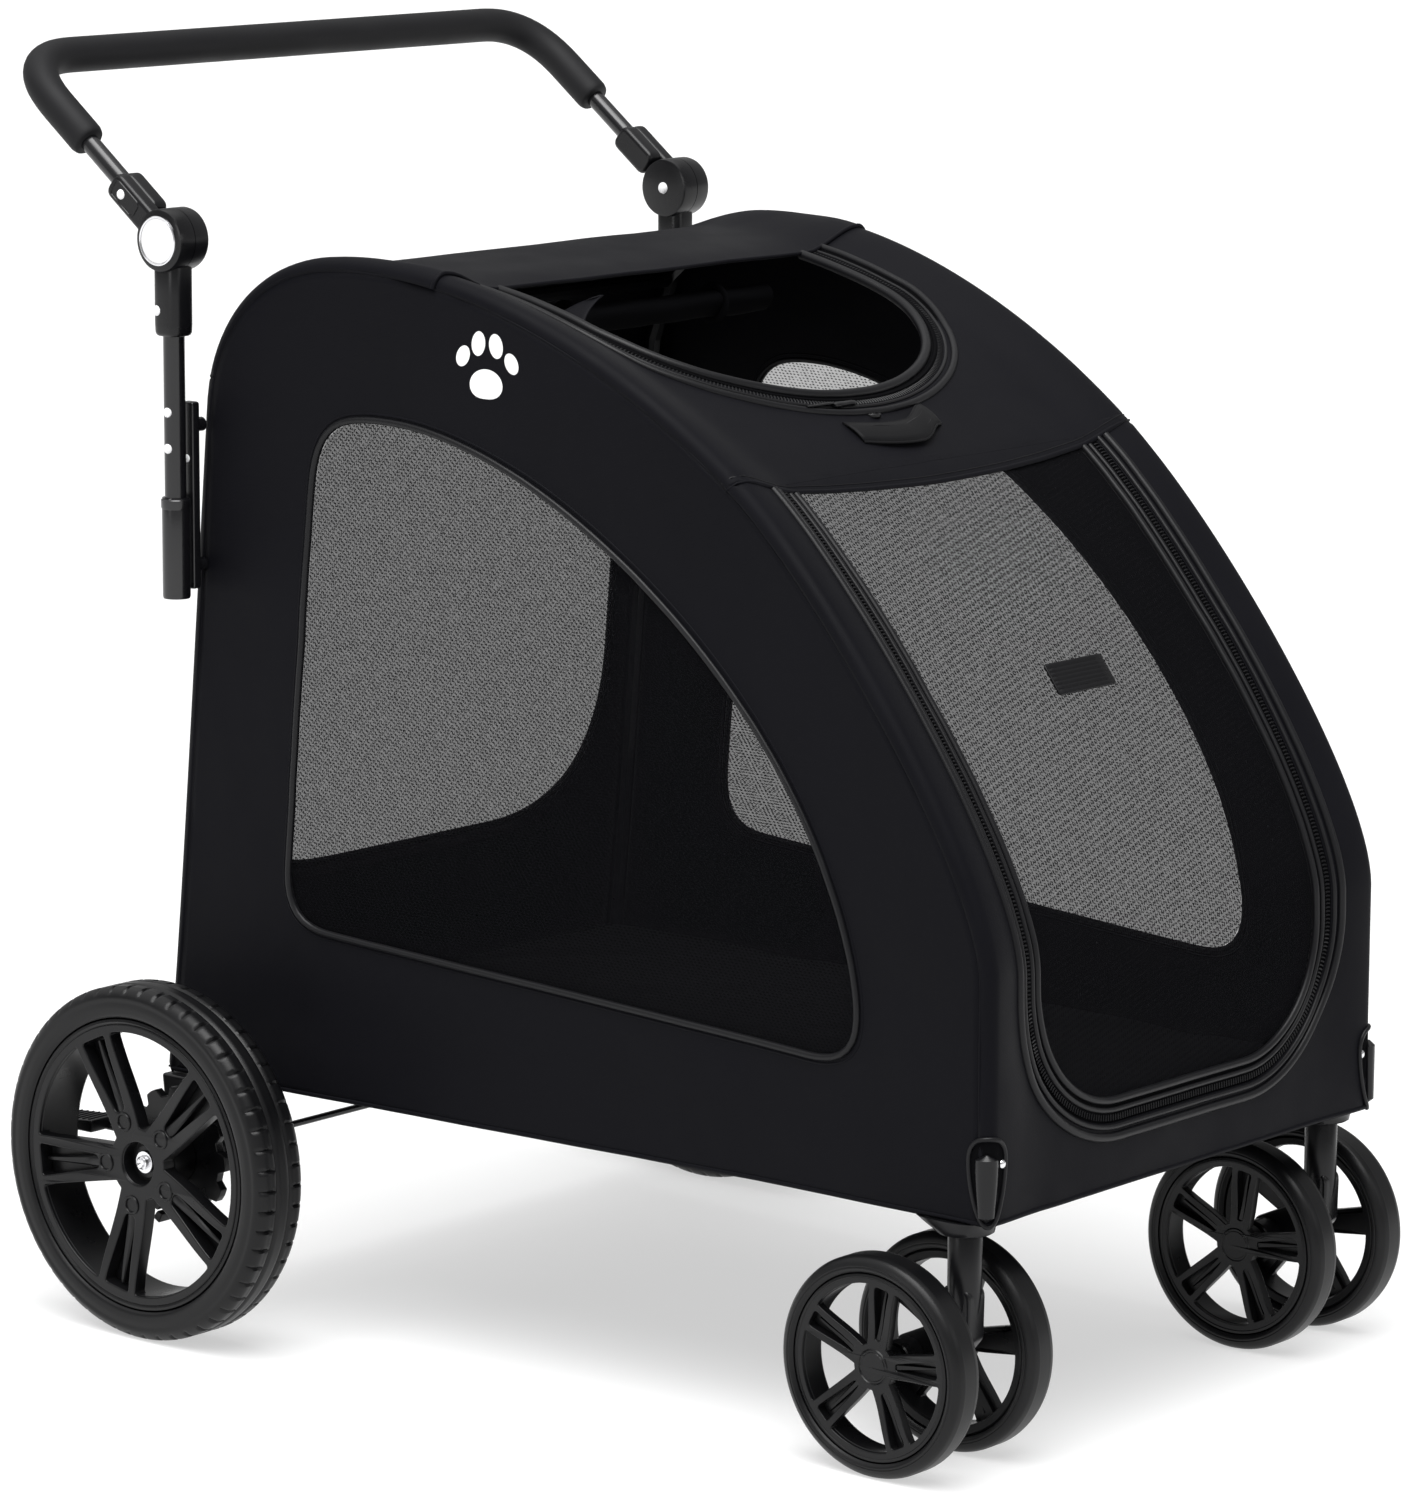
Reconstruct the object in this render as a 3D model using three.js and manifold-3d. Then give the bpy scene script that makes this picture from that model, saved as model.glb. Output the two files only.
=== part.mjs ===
// Four-wheeled pet stroller: a fabric cabin on a tube frame, big rear wheels with a foot brake, twin-wheel
// front casters, and a push handle that tilts and telescopes.
// Millimetres, +Z up, +X forward, ground at z = 0. Sizes are laid out from the rear wheel axis (x = 0); the
// finished group is then shifted so that the origin is on the ground below the middle of the whole stroller.
import * as THREE from 'three';
import { mergeVertices } from 'three/addons/utils/BufferGeometryUtils.js';
import Module from 'manifold-3d';

const wasm = await Module();
wasm.setup();

// ---------------------------------------------------------------- driving dimensions
const gap = 0.4; // between neighbouring solids
const runningGap = 0.25; // radial clearance of a turning or sliding fit

const cabin = {
  bottomZ: 205,
  frontX: 793,
  frontHalfWidth: 261,
  rearHalfWidth: 290,
  taperStartX: 560,
  rearBottomX: -62,
};
const rearWheel = {
  radius: 150,
  width: 54,
  centreY: cabin.rearHalfWidth + 76,
  rimRadius: 125,
  hubRadius: 19,
  boltCircle: 36,
};
const caster = { radius: 88.5, width: 32, spacing: 95, rimRadius: 76, hubRadius: 15, x: cabin.frontX - 36,
  y: cabin.frontHalfWidth - 18, trail: 45, stem: 13.5 };
const spokePairs = 5;

const cloth = 2; // wall thickness of the coated fabric
const netting = 1.2; // thickness of the mesh fabric
const sideGap = cloth + 0.8; // from the cabin's side faces to the panels between them
const ridgeWidth = 75; // how far the raised edge over each hoop runs in from the side
const sag = { top: 24, front: 12 }; // how far the fabric lies below the hoop line

const frameTube = 8; // radius of the base tubes
const hoopTube = 7; // radius of the side hoops
const hoopInset = 14; // hoop centre line below the fabric surface
const baseZ = 218; // height of the base tubes
const railInset = 20; // base rail centre line in from the side walls

const handleX = -11; // both upright handle tubes
const handleY = cabin.rearHalfWidth + 30;
const handleTube = 9; // radius of the telescoping tubes
const sleeve = { radius: 11.5, bottomZ: 618, topZ: 702 };
const mountRail = { topZ: 780, y: cabin.rearHalfWidth + 12, width: 14, depth: 9 };
const hinge = { z: 915, radius: 26, halfLength: 17, pin: 4, button: 20.5 };
const housing = { bottomZ: 836, width: 28, depth: 26 };
const handleInsertZ = 640; // lower end of the telescoping tube
const arm = { tilt: 38, width: 22, length: 72, tube: 8, reach: 226, bend: 60 };
const grip = { radius: 15, start: 121 };

const stubAxle = 6; // radius of the rear wheels' stub axles
const casterAxle = 5;
const casterPin = 5; // radius of the swivel pin in the front corner
const skirtZ = cabin.bottomZ - 12; // lowest point of the front corners
const brake = {
  pivotX: -38,
  pivotZ: rearWheel.radius - 14,
  rod: 3,
  gearRadius: 57,
  toothDepth: 8,
  teeth: 12,
  gearWidth: 8,
  swing: 14,
  pawl: 9,
  pedalReach: 112,
};
const legInnerY = cabin.rearHalfWidth - 22;
const legOuterY = legInnerY + 28;

// ---------------------------------------------------------------- materials
function material(color, roughness, metalness = 0) {
  return new THREE.MeshStandardMaterial({ color, roughness, metalness });
}


const fabricBlack = material(0x1a1a1e, 0.75);
const meshGrey = material(0x3a3a3e, 0.85);
const paintedSteel = material(0x151517, 0.35, 0.6);
const plasticBlack = material(0x161618, 0.45);
const rubberBlack = material(0x202023, 0.8);
const foamBlack = material(0x1c1c1f, 0.9);
const chrome = material(0xd8d8dc, 0.15, 1);
const matGrey = material(0x47474c, 0.9);
const board = material(0x2a2a2c, 0.7);

// ---------------------------------------------------------------- solids
// A closed geometry as a manifold-3d solid.
function solid(geometry) {
  const bare = geometry.index ? geometry.toNonIndexed() : geometry.clone();
  for (const name of Object.keys(bare.attributes)) if (name !== 'position') bare.deleteAttribute(name);
  const merged = mergeVertices(bare, 1e-3);
  return new wasm.Manifold(new wasm.Mesh({
    numProp: 3,
    vertProperties: merged.attributes.position.array,
    triVerts: new Uint32Array(merged.index.array),
  }));
}

// A manifold-3d solid as a geometry.
function geometryOf(manifold) {
  const mesh = manifold.getMesh();
  const geometry = new THREE.BufferGeometry();
  geometry.setAttribute('position', new THREE.BufferAttribute(mesh.vertProperties, 3));
  geometry.setIndex(new THREE.BufferAttribute(mesh.triVerts, 1));
  return geometry;
}

const joined = (first, ...rest) => rest.reduce((all, one) => all.add(one), first);
const cut = (first, ...rest) => rest.reduce((all, one) => all.subtract(one), first);

function box(xRange, yRange, zRange) {
  const size = [xRange, yRange, zRange].map(([low, high]) => high - low);
  const geometry = new THREE.BoxGeometry(...size);
  geometry.translate(xRange[0] + size[0] / 2, yRange[0] + size[1] / 2, zRange[0] + size[2] / 2);
  return solid(geometry);
}

// A cylinder along 'x', 'y' or 'z' with its two ends at from and to, centred on the other two coordinates.
function cylinder(axis, radius, from, to, [a, b], sides = 20) {
  const geometry = new THREE.CylinderGeometry(radius, radius, to - from, sides);
  const middle = (from + to) / 2;
  if (axis === 'x') geometry.rotateZ(-Math.PI / 2).translate(middle, a, b);
  if (axis === 'y') geometry.translate(a, middle, b);
  if (axis === 'z') geometry.rotateX(Math.PI / 2).translate(a, b, middle);
  return solid(geometry);
}

// A shape drawn in (x, z), extruded along Y between two values.
function slabXZ(shape, yFrom, yTo, curveSegments = 10) {
  const depth = yTo - yFrom;
  const geometry = new THREE.ExtrudeGeometry(shape, { depth, bevelEnabled: false, curveSegments });
  return solid(geometry.rotateX(Math.PI / 2).translate(0, yTo, 0));
}

// A shape drawn in (y, z), extruded along X between two values.
function slabYZ(shape, xFrom, xTo, curveSegments = 10) {
  const depth = xTo - xFrom;
  const geometry = new THREE.ExtrudeGeometry(shape, { depth, bevelEnabled: false, curveSegments });
  return solid(geometry.rotateX(Math.PI / 2).rotateZ(Math.PI / 2).translate(xFrom, 0, 0));
}

// A shape drawn in (x, y), extruded along Z between two values.
function slabXY(shape, zFrom, zTo, curveSegments = 10) {
  const depth = zTo - zFrom;
  const geometry = new THREE.ExtrudeGeometry(shape, { depth, bevelEnabled: false, curveSegments });
  return solid(geometry.translate(0, 0, zFrom));
}

function polygon(points) {
  return new THREE.Shape(points.map(([a, b]) => new THREE.Vector2(a, b)));
}

// A round tube or rod along a curve, with closed ends.
function rodAlong(curve, radius, steps, sides = 8) {
  const angles = Array.from({ length: sides }, (_, i) => (2 * Math.PI * i) / sides);
  const corners = angles.map((a) => new THREE.Vector2(radius * Math.cos(a), radius * Math.sin(a)));
  const section = new THREE.Shape(corners);
  return solid(new THREE.ExtrudeGeometry(section, { steps, bevelEnabled: false, extrudePath: curve }));
}

// A path of several curves, each with its own number of steps, so that bends are finer than straights.
class SteppedPath extends THREE.Curve {
  constructor(pieces) {
    super();
    this.pieces = pieces;
    this.total = pieces.reduce((sum, [, steps]) => sum + steps, 0);
  }

  getPoint(t) {
    let at = t * this.total;
    let i = 0;
    while (i < this.pieces.length - 1 && at > this.pieces[i][1]) {
      at -= this.pieces[i][1];
      i += 1;
    }
    const [curve, steps] = this.pieces[i];
    return curve.getPoint(at / steps);
  }

  getUtoTmapping(u) {
    return u;
  }
}

const straight = (a, b) => new THREE.LineCurve3(new THREE.Vector3(...a), new THREE.Vector3(...b));

// A ring turned round the Y axis from a closed profile of (radius, y) points.
function turned(profile, segments) {
  const points = [...profile, profile[0]].map(([r, y]) => new THREE.Vector2(r, y));
  return solid(new THREE.LatheGeometry(points, segments));
}

// A closed sheet over a grid of surface points: point(u, v) is its outer face, inner(u, v) the one behind it.
function sheet(point, inner, columns, rows) {
  const positions = [];
  for (const face of [point, inner]) {
    for (let j = 0; j <= rows; j++) {
      for (let i = 0; i <= columns; i++) positions.push(...face(i / columns, j / rows));
    }
  }
  const at = (layer, i, j) => layer * (columns + 1) * (rows + 1) + j * (columns + 1) + i;
  const index = [];
  const quad = (a, b, c, d) => index.push(a, b, c, a, c, d);
  for (let j = 0; j < rows; j++) {
    for (let i = 0; i < columns; i++) {
      quad(at(0, i, j), at(0, i + 1, j), at(0, i + 1, j + 1), at(0, i, j + 1));
      quad(at(1, i, j), at(1, i, j + 1), at(1, i + 1, j + 1), at(1, i + 1, j));
    }
    quad(at(0, 0, j), at(0, 0, j + 1), at(1, 0, j + 1), at(1, 0, j));
    quad(at(0, columns, j), at(1, columns, j), at(1, columns, j + 1), at(0, columns, j + 1));
  }
  for (let i = 0; i < columns; i++) {
    quad(at(0, i, 0), at(1, i, 0), at(1, i + 1, 0), at(0, i + 1, 0));
    quad(at(0, i, rows), at(0, i + 1, rows), at(1, i + 1, rows), at(1, i, rows));
  }
  const geometry = new THREE.BufferGeometry();
  geometry.setAttribute('position', new THREE.Float32BufferAttribute(positions, 3));
  geometry.setIndex(index);
  const made = solid(geometry);
  return made.volume() > 0 ? made : solid(geometry.setIndex(index.reverse()));
}

// ---------------------------------------------------------------- the stroller and its named pieces
const stroller = new THREE.Group();

function add(name, manifold, look) {
  const mesh = new THREE.Mesh(geometryOf(manifold), look);
  mesh.name = name;
  stroller.add(mesh);
}

const sides = [['right', -1], ['left', 1]];
const mirroredY = (side, low, high) => (side > 0 ? [low, high] : [-high, -low]);

// ---------------------------------------------------------------- cabin outline
// The side profile, from the bottom of the back wall over the top to the bottom of the front.
const profilePath = new THREE.Path();
profilePath.moveTo(cabin.rearBottomX, cabin.bottomZ);
profilePath.bezierCurveTo(-48, 300, -28, 560, -10, 780);
profilePath.bezierCurveTo(-3, 850, 50, 902, 130, 906);
profilePath.bezierCurveTo(280, 915, 440, 836, 540, 757);
profilePath.bezierCurveTo(630, 686, cabin.frontX - 3, 480, cabin.frontX, 395);
profilePath.lineTo(cabin.frontX, cabin.bottomZ);
const [rearWall, rearCorner, topRun, frontRun, frontFoot] = profilePath.curves;

const cabinHalfWidth = (x) => {
  const taperLength = cabin.taperStartX - cabin.rearBottomX;
  const along = THREE.MathUtils.clamp((cabin.taperStartX - x) / taperLength, 0, 1);
  return cabin.frontHalfWidth + (cabin.rearHalfWidth - cabin.frontHalfWidth) * along;
};

// Outline point and inward normal at a share t of one profile curve.
function profileAt(curve, t) {
  const point = curve.getPoint(t);
  const tangent = curve.getTangent(t);
  return { point, inward: new THREE.Vector2(tangent.y, -tangent.x) };
}

// A wall that follows a stretch of the profile and sags between the two hoops.
// spans lists [curve, from, to] in order; depth(u) runs from the first span's sag to the last one's.
function wrapSheet(spans, rowsPerSpan, sagAt, thickness, columns = 10) {
  const rows = spans.length * rowsPerSpan;
  const place = (u, v, below) => {
    const step = Math.min(Math.floor(v * spans.length), spans.length - 1);
    const [curve, from, to] = spans[step];
    const { point, inward } = profileAt(curve, from + (to - from) * (v * spans.length - step));
    const across = Math.sin((u - 0.5) * Math.PI);
    const half = cabinHalfWidth(point.x);
    const ridge = THREE.MathUtils.smoothstep(Math.abs(across) * half, half - ridgeWidth, half);
    const depth = sagAt(v) * (1 - ridge) + below;
    const x = point.x + inward.x * depth;
    return [x, across * (cabinHalfWidth(x) - sideGap), point.y + inward.y * depth];
  };
  return sheet((u, v) => place(u, v, 0), (u, v) => place(u, v, thickness), columns, rows);
}

function cabinShape() {
  const shape = new THREE.Shape();
  shape.curves = profilePath.curves.slice();
  shape.closePath();
  return shape;
}

// ---------------------------------------------------------------- window, door and hatch outlines
// Each grows outwards by the margin, so that a panel's hole and the netting in it come from one outline.
function sideWindowShape(margin) {
  const m = margin;
  const shape = new THREE.Shape();
  shape.moveTo(82 - m, 400);
  shape.lineTo(110 - m, 715);
  shape.bezierCurveTo(115 - m, 770 + m, 140, 775 + m, 180, 775 + m);
  shape.bezierCurveTo(355 + m, 775 + m, 618 + m, 575 + m, 658 + m, 380);
  shape.bezierCurveTo(668 + m, 335 - m, 655 + m, 315 - m, 617, 317 - m);
  shape.lineTo(125, 348 - m);
  shape.bezierCurveTo(88 - m, 350 - m, 80 - m, 370, 82 - m, 400);
  return shape;
}

function rearWindowShape(margin) {
  const half = cabin.rearHalfWidth - 38 + margin;
  const top = 768 + margin;
  const bottom = 358 - margin;
  const shape = new THREE.Shape();
  shape.moveTo(-90, bottom);
  shape.lineTo(90, bottom);
  shape.bezierCurveTo(half - 52, bottom, half - 2, 420, half, 540);
  shape.lineTo(half, top - 45);
  shape.quadraticCurveTo(half, top, half - 45, top);
  shape.lineTo(45 - half, top);
  shape.quadraticCurveTo(-half, top, -half, top - 45);
  shape.lineTo(-half, 540);
  shape.bezierCurveTo(2 - half, 420, 52 - half, bottom, -90, bottom);
  return shape;
}

const doorHalfWidth = cabin.frontHalfWidth - 57;
const doorTopZ = 742;
const doorBottomZ = 258;
function doorShape(margin) {
  const half = doorHalfWidth + margin;
  const bottom = doorBottomZ - margin;
  const shape = new THREE.Shape();
  shape.moveTo(half, doorTopZ);
  shape.lineTo(-half, doorTopZ);
  shape.lineTo(-half, 400);
  shape.bezierCurveTo(-half, 300, -160 - margin, bottom, 0, bottom);
  shape.bezierCurveTo(160 + margin, bottom, half, 300, half, 400);
  shape.lineTo(half, doorTopZ);
  return shape;
}

const hatch = { rearX: 238, straightX: 320, frontX: 464, halfWidth: cabin.frontHalfWidth - 63 };
function hatchShape(margin) {
  const half = hatch.halfWidth + margin;
  const front = hatch.frontX + margin;
  const shape = new THREE.Shape();
  shape.moveTo(hatch.rearX, -half);
  shape.lineTo(hatch.straightX, -half);
  shape.bezierCurveTo(405 + margin, -half, front, -130 - margin, front, 0);
  shape.bezierCurveTo(front, 130 + margin, 405 + margin, half, hatch.straightX, half);
  shape.lineTo(hatch.rearX, half);
  shape.lineTo(hatch.rearX, -half);
  return shape;
}

// ---------------------------------------------------------------- cabin fabric
// The opening in each front bottom corner that shows the corner bracket's post.
function cornerOpening(side) {
  const shape = new THREE.Shape();
  const half = 16;
  shape.moveTo(-half, cabin.bottomZ - 5);
  shape.lineTo(half, cabin.bottomZ - 5);
  shape.lineTo(half, 256);
  shape.absarc(0, 256, half, 0, Math.PI, false);
  const geometry = new THREE.ExtrudeGeometry(shape, { depth: 60, bevelEnabled: false, curveSegments: 5 });
  geometry.rotateX(Math.PI / 2).rotateZ(Math.PI / 2).translate(-30, 0, 0).rotateZ((side * Math.PI) / 4);
  return solid(geometry.translate(cabin.frontX, side * cabin.frontHalfWidth, 0));
}

// A slab that follows the tapering side wall, from inset to inset + thickness inside its outer face.
function sideSlab(side, inset, thickness) {
  const stations = [-200, cabin.rearBottomX, cabin.taperStartX, 900];
  const line = (depth) => stations.map((x) => [x, side * (cabinHalfWidth(x) - depth)]);
  return slabXY(polygon([...line(inset), ...line(inset + thickness).reverse()]), 150, 960);
}

function sidePanels() {
  const wide = cabin.rearHalfWidth + 20;
  for (const [name, side] of sides) {
    const [low, high] = mirroredY(side, 200, wide);
    const outline = slabXZ(cabinShape(), low, high);
    const wall = sideSlab(side, 0, cloth).intersect(outline);
    const windowHole = slabXZ(sideWindowShape(0), low, high);
    add(`side_panel_${name}`, cut(wall, windowHole, cornerOpening(side)), fabricBlack);
    const netWall = sideSlab(side, (cloth - netting) / 2, netting);
    const net = netWall.intersect(slabXZ(sideWindowShape(-gap), low, high));
    add(`side_window_${name}`, net, meshGrey);
  }
}

const seamGap = 0.003;

function wrapPanels() {
  const backSag = (v) => sag.top * THREE.MathUtils.smoothstep(v, 0.55, 0.85) * 0.75;
  const backRuns = [[rearWall, 0, 1], [rearCorner, 0, 1], [topRun, 0, topSeamShare()]];
  const back = wrapSheet(backRuns, 5, backSag, cloth);
  const rearOpening = slabYZ(rearWindowShape(0), -120, 60);
  add('rear_panel', cut(back, rearOpening), fabricBlack);
  const rearNet = wrapSheet([[rearWall, 0.2, 1]], 4, () => -0.4, netting, 8);
  add('rear_window', rearNet.intersect(slabYZ(rearWindowShape(-gap), -120, 60)), meshGrey);

  const topSag = (v) => sag.top * THREE.MathUtils.lerp(0.85, sag.front / sag.top, v);
  const top = wrapSheet([[topRun, topSeamShare() + seamGap, 1]], 8, topSag, cloth);
  add('hatch_panel', cut(top, slabXY(hatchShape(0), 700, 950)), fabricBlack);
  const flapRoll = hatch.halfWidth - 30;
  add('hatch_flap_roll', cylinder('y', 14, -flapRoll, flapRoll, [hatch.rearX - 18, 846], 14), meshGrey);

  const frontRuns = [[frontRun, seamGap, 0.5], [frontRun, 0.5, 1], [frontFoot, 0, 1]];
  const front = wrapSheet(frontRuns, 4, () => sag.front, cloth);
  const doorway = slabYZ(doorShape(0), 400, 900);
  add('front_panel', cut(front, doorway, cornerOpening(-1), cornerOpening(1)), fabricBlack);
  const doorNet = wrapSheet(frontRuns, 4, () => sag.front + 0.4,
    netting);
  add('front_door', doorNet.intersect(slabYZ(doorShape(-gap), 400, 900)), meshGrey);
}

// The share of the top run at which the hatch's rear edge lies.
function topSeamShare() {
  let share = 0;
  while (topRun.getPoint(share).x < hatch.rearX - 2) share += 0.001;
  return share;
}

// ---------------------------------------------------------------- floor
const rearInsideX = cabin.rearBottomX + 12;
const blockTopZ = baseZ + frameTube + 4;
const cornerBlock = { x: [caster.x - 35, caster.x + 19], y: [caster.y - 27, caster.y + 13] };
const legBlock = { x: [-48, 22], y: [legInnerY - 8, legInnerY + 16] };
// Centre line of a base rail in (x, y), on the positive side.
const railLine = [[-50, cabinHalfWidth(-50) - railInset], [caster.x - 17, cabin.frontHalfWidth - railInset]];
const railAlong = (side, radius) => rodAlong(straight([railLine[0][0], side * railLine[0][1], baseZ],
  [railLine[1][0], side * railLine[1][1], baseZ]), radius, 1, 12);

function floorPieces() {
  const front = cabin.frontX - sag.front - cloth - 4;
  const clip = gap + 2;
  const outline = polygon([
    [legBlock.x[1] + clip, -(cabinHalfWidth(40) - 6)], [cabin.taperStartX, -(cabin.frontHalfWidth - 6)],
    [cornerBlock.x[0] - clip, -(cabin.frontHalfWidth - 6)],
    [cornerBlock.x[0] - clip, -(cornerBlock.y[0] - clip)], [front, -(cornerBlock.y[0] - clip)],
    [front, cornerBlock.y[0] - clip], [cornerBlock.x[0] - clip, cornerBlock.y[0] - clip],
    [cornerBlock.x[0] - clip, cabin.frontHalfWidth - 6], [cabin.taperStartX, cabin.frontHalfWidth - 6],
    [legBlock.x[1] + clip, cabinHalfWidth(40) - 6],
    [legBlock.x[1] + clip, legBlock.y[0] - clip], [rearInsideX, legBlock.y[0] - clip],
    [rearInsideX, clip - legBlock.y[0]], [legBlock.x[1] + clip, clip - legBlock.y[0]],
  ]);
  add('bottom_panel', slabXY(outline, cabin.bottomZ, cabin.bottomZ + cloth), fabricBlack);

  const boardZ = blockTopZ + 1;
  const rearHalf = cabin.rearHalfWidth - 26;
  const frontHalf = cabin.frontHalfWidth - 25;
  const boardFront = cabin.frontX - 31;
  const plate = (inset) => polygon([[-34 + inset, inset - rearHalf], [boardFront - inset, inset - frontHalf],
    [boardFront - inset, frontHalf - inset], [-34 + inset, rearHalf - inset]]);
  add('floor_board', slabXY(plate(0), boardZ, boardZ + 5), board);
  add('floor_mat', slabXY(plate(4), boardZ + 5 + gap, boardZ + 30), matGrey);
}

// ---------------------------------------------------------------- tube frame
function frameTubes() {
  for (const [name, side] of sides) {
    add(`base_rail_${name}`, railAlong(side, frameTube), paintedSteel);
    const points = [];
    const spans = [
      [rearWall, 0.09, 1, 5], [rearCorner, 0.12, 1, 6], [topRun, 0.1, 1, 7], [frontRun, 0.1, 1, 9],
      [frontFoot, 0.3, 0.6, 1]];
    for (const [curve, from, to, count] of spans) {
      for (let i = 0; i <= count; i++) {
        const { point, inward } = profileAt(curve, THREE.MathUtils.lerp(from, to, i / count));
        const x = point.x + inward.x * hoopInset;
        const z = point.y + inward.y * hoopInset;
        points.push(new THREE.Vector3(x, side * (cabinHalfWidth(x) - hoopInset), z));
      }
    }
    add(`side_hoop_${name}`, rodAlong(new THREE.CatmullRomCurve3(points), hoopTube, 28, 8), paintedSteel);
  }
  const rearSpan = Math.min(legBlock.y[0], railLine[0][1] - frameTube - 1.5) - gap;
  add('base_rear_tube', cylinder('y', frameTube, -rearSpan, rearSpan, [-30, baseZ], 12), paintedSteel);
  const frontSpan = cornerBlock.y[0] - gap;
  const frontTube = cylinder('y', frameTube, -frontSpan, frontSpan, [caster.x + 5, baseZ], 12);
  add('base_front_tube', frontTube, paintedSteel);
  const topX = 24;
  const topZ = 838;
  const topSpan = cabinHalfWidth(topX) - hoopInset - hoopTube - 1;
  add('top_cross_tube', cylinder('y', hoopTube, -topSpan, topSpan, [topX, topZ], 10), paintedSteel);
}

// Plastic corner that joins the base tubes and carries a caster; its post shows through the fabric.
function frontCorners() {
  for (const [name, side] of sides) {
    const block = box(cornerBlock.x, mirroredY(side, ...cornerBlock.y), [skirtZ + 1, blockTopZ]);
    const skirt = cylinder('z', 22, skirtZ, cabin.bottomZ - 1, [caster.x, side * caster.y], 24);
    const post = cylinder('z', 11, cabin.bottomZ - 7, cabin.bottomZ + 57, [cabin.frontX - 13,
      side * (cabin.frontHalfWidth - 13)], 16);
    const railSocket = railAlong(side, frameTube + gap);
    const boreRadius = casterPin + runningGap;
    const pinBore = cylinder('z', boreRadius, skirtZ - 10, blockTopZ - 3, [caster.x, side * caster.y], 16);
    add(`front_corner_${name}`, cut(joined(block, skirt, post), railSocket, pinBore), plasticBlack);
  }
}

// Plastic leg that hangs from the base rail and holds the rear wheel's stub axle and the brake rod.
function rearLegs() {
  const axleZ = rearWheel.radius;
  for (const [name, side] of sides) {
    const leg = polygon([
      [-60, cabin.bottomZ - 2], [44, cabin.bottomZ - 2], [22, axleZ], [14, axleZ - 16], [-8, axleZ - 24],
      [-44, axleZ - 26], [-52, axleZ - 16], [-54, axleZ + 10]]);
    const plate = slabXZ(leg, ...mirroredY(side, legInnerY, legOuterY));
    const block = box(legBlock.x, mirroredY(side, ...legBlock.y), [cabin.bottomZ - 5, blockTopZ]);
    const bossEnd = rearWheel.centreY - 40;
    const boss = cylinder('y', 17, ...mirroredY(side, legInnerY - 6, bossEnd), [0, axleZ], 20);
    const rail = railAlong(side, frameTube + gap);
    const through = mirroredY(side, legInnerY - 13, bossEnd + 14);
    const axleBore = cylinder('y', stubAxle + gap, ...through, [0, axleZ], 16);
    const rodBore = cylinder('y', brake.rod + gap, ...through, [brake.pivotX, brake.pivotZ], 12);
    add(`rear_leg_${name}`, cut(joined(plate, block, boss), rail, axleBore, rodBore), plasticBlack);
    const shaftSpan = mirroredY(side, legInnerY - 8, rearWheel.centreY + 13);
    const shaft = cylinder('y', stubAxle, ...shaftSpan, [0, axleZ], 16);
    const headSpan = mirroredY(side, rearWheel.centreY + 10, rearWheel.centreY + 15);
    const head = cylinder('y', 9.5, ...headSpan, [0, axleZ], 16);
    add(`rear_stub_axle_${name}`, joined(shaft, head), chrome);
  }
}

// ---------------------------------------------------------------- wheels
// Tyre profile in (radius, y): square shoulders eased by a chamfer, seated on the rim.
function tyre(radius, width, rimRadius, segments) {
  const half = width / 2;
  const ease = width * 0.2;
  return turned([
    [rimRadius + gap, -half + 2], [radius - ease, -half], [radius - 1, -half + ease], [radius, 0],
    [radius - 1, half - ease], [radius - ease, half], [rimRadius + gap, half - 2],
  ], segments);
}

// Spoked rim with its outer face towards +y: a barrel ring, a hub with a recess for the axle end, and double
// spokes.
function rim({ rimRadius, width, hubRadius, hubDisc, ring, spoke, bore, recess, segments }) {
  const half = width / 2;
  const face = half - 8;
  const barrel = turned([[rimRadius - ring, -half + 4], [rimRadius, -half + 4], [rimRadius, half - 3],
    [rimRadius - ring, half - 3]], segments);
  const hub = turned([[bore, -half + 1], [hubRadius, -half + 1], [hubRadius, face - spoke.depth / 2],
    [hubDisc, face - spoke.depth / 2], [hubDisc, face], [recess.radius, face], [recess.radius, face - recess.depth],
    [bore, face - recess.depth]], 16);
  const root = hubRadius - 2;
  const tip = rimRadius - ring / 2;
  const { rootHalf, tipHalf } = spoke;
  const pair = polygon([[root, -rootHalf], [tip, -tipHalf], [tip, tipHalf], [root, rootHalf]]);
  const slotEnd = tip - ring - 2;
  const slot = [[hubDisc + 6, -spoke.slotHalf], [slotEnd, -spoke.slotHalf], [slotEnd, spoke.slotHalf],
    [hubDisc + 6, spoke.slotHalf]];
  pair.holes.push(new THREE.Path(slot.map(([a, b]) => new THREE.Vector2(a, b))));
  const spokes = [];
  for (let i = 0; i < spokePairs; i++) {
    const blade = new THREE.ExtrudeGeometry(pair, { depth: spoke.depth, bevelEnabled: false });
    blade.rotateX(Math.PI / 2).translate(0, face + 1, 0).rotateY((2 * Math.PI * (i + 0.5)) / spokePairs);
    spokes.push(cut(solid(blade), cylinder('y', recess.radius, -width, width, [0, 0], 16)));
  }
  return joined(barrel, hub, ...spokes);
}

// Places a wheel solid built about the origin at an axle point, its outer face away from the centre line.
function placed(manifold, [x, y, z], outward) {
  const turn = new THREE.Matrix4();
  if (outward < 0) turn.makeRotationX(Math.PI);
  const geometry = geometryOf(manifold).applyMatrix4(turn);
  return solid(geometry.translate(x, y, z));
}

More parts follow.
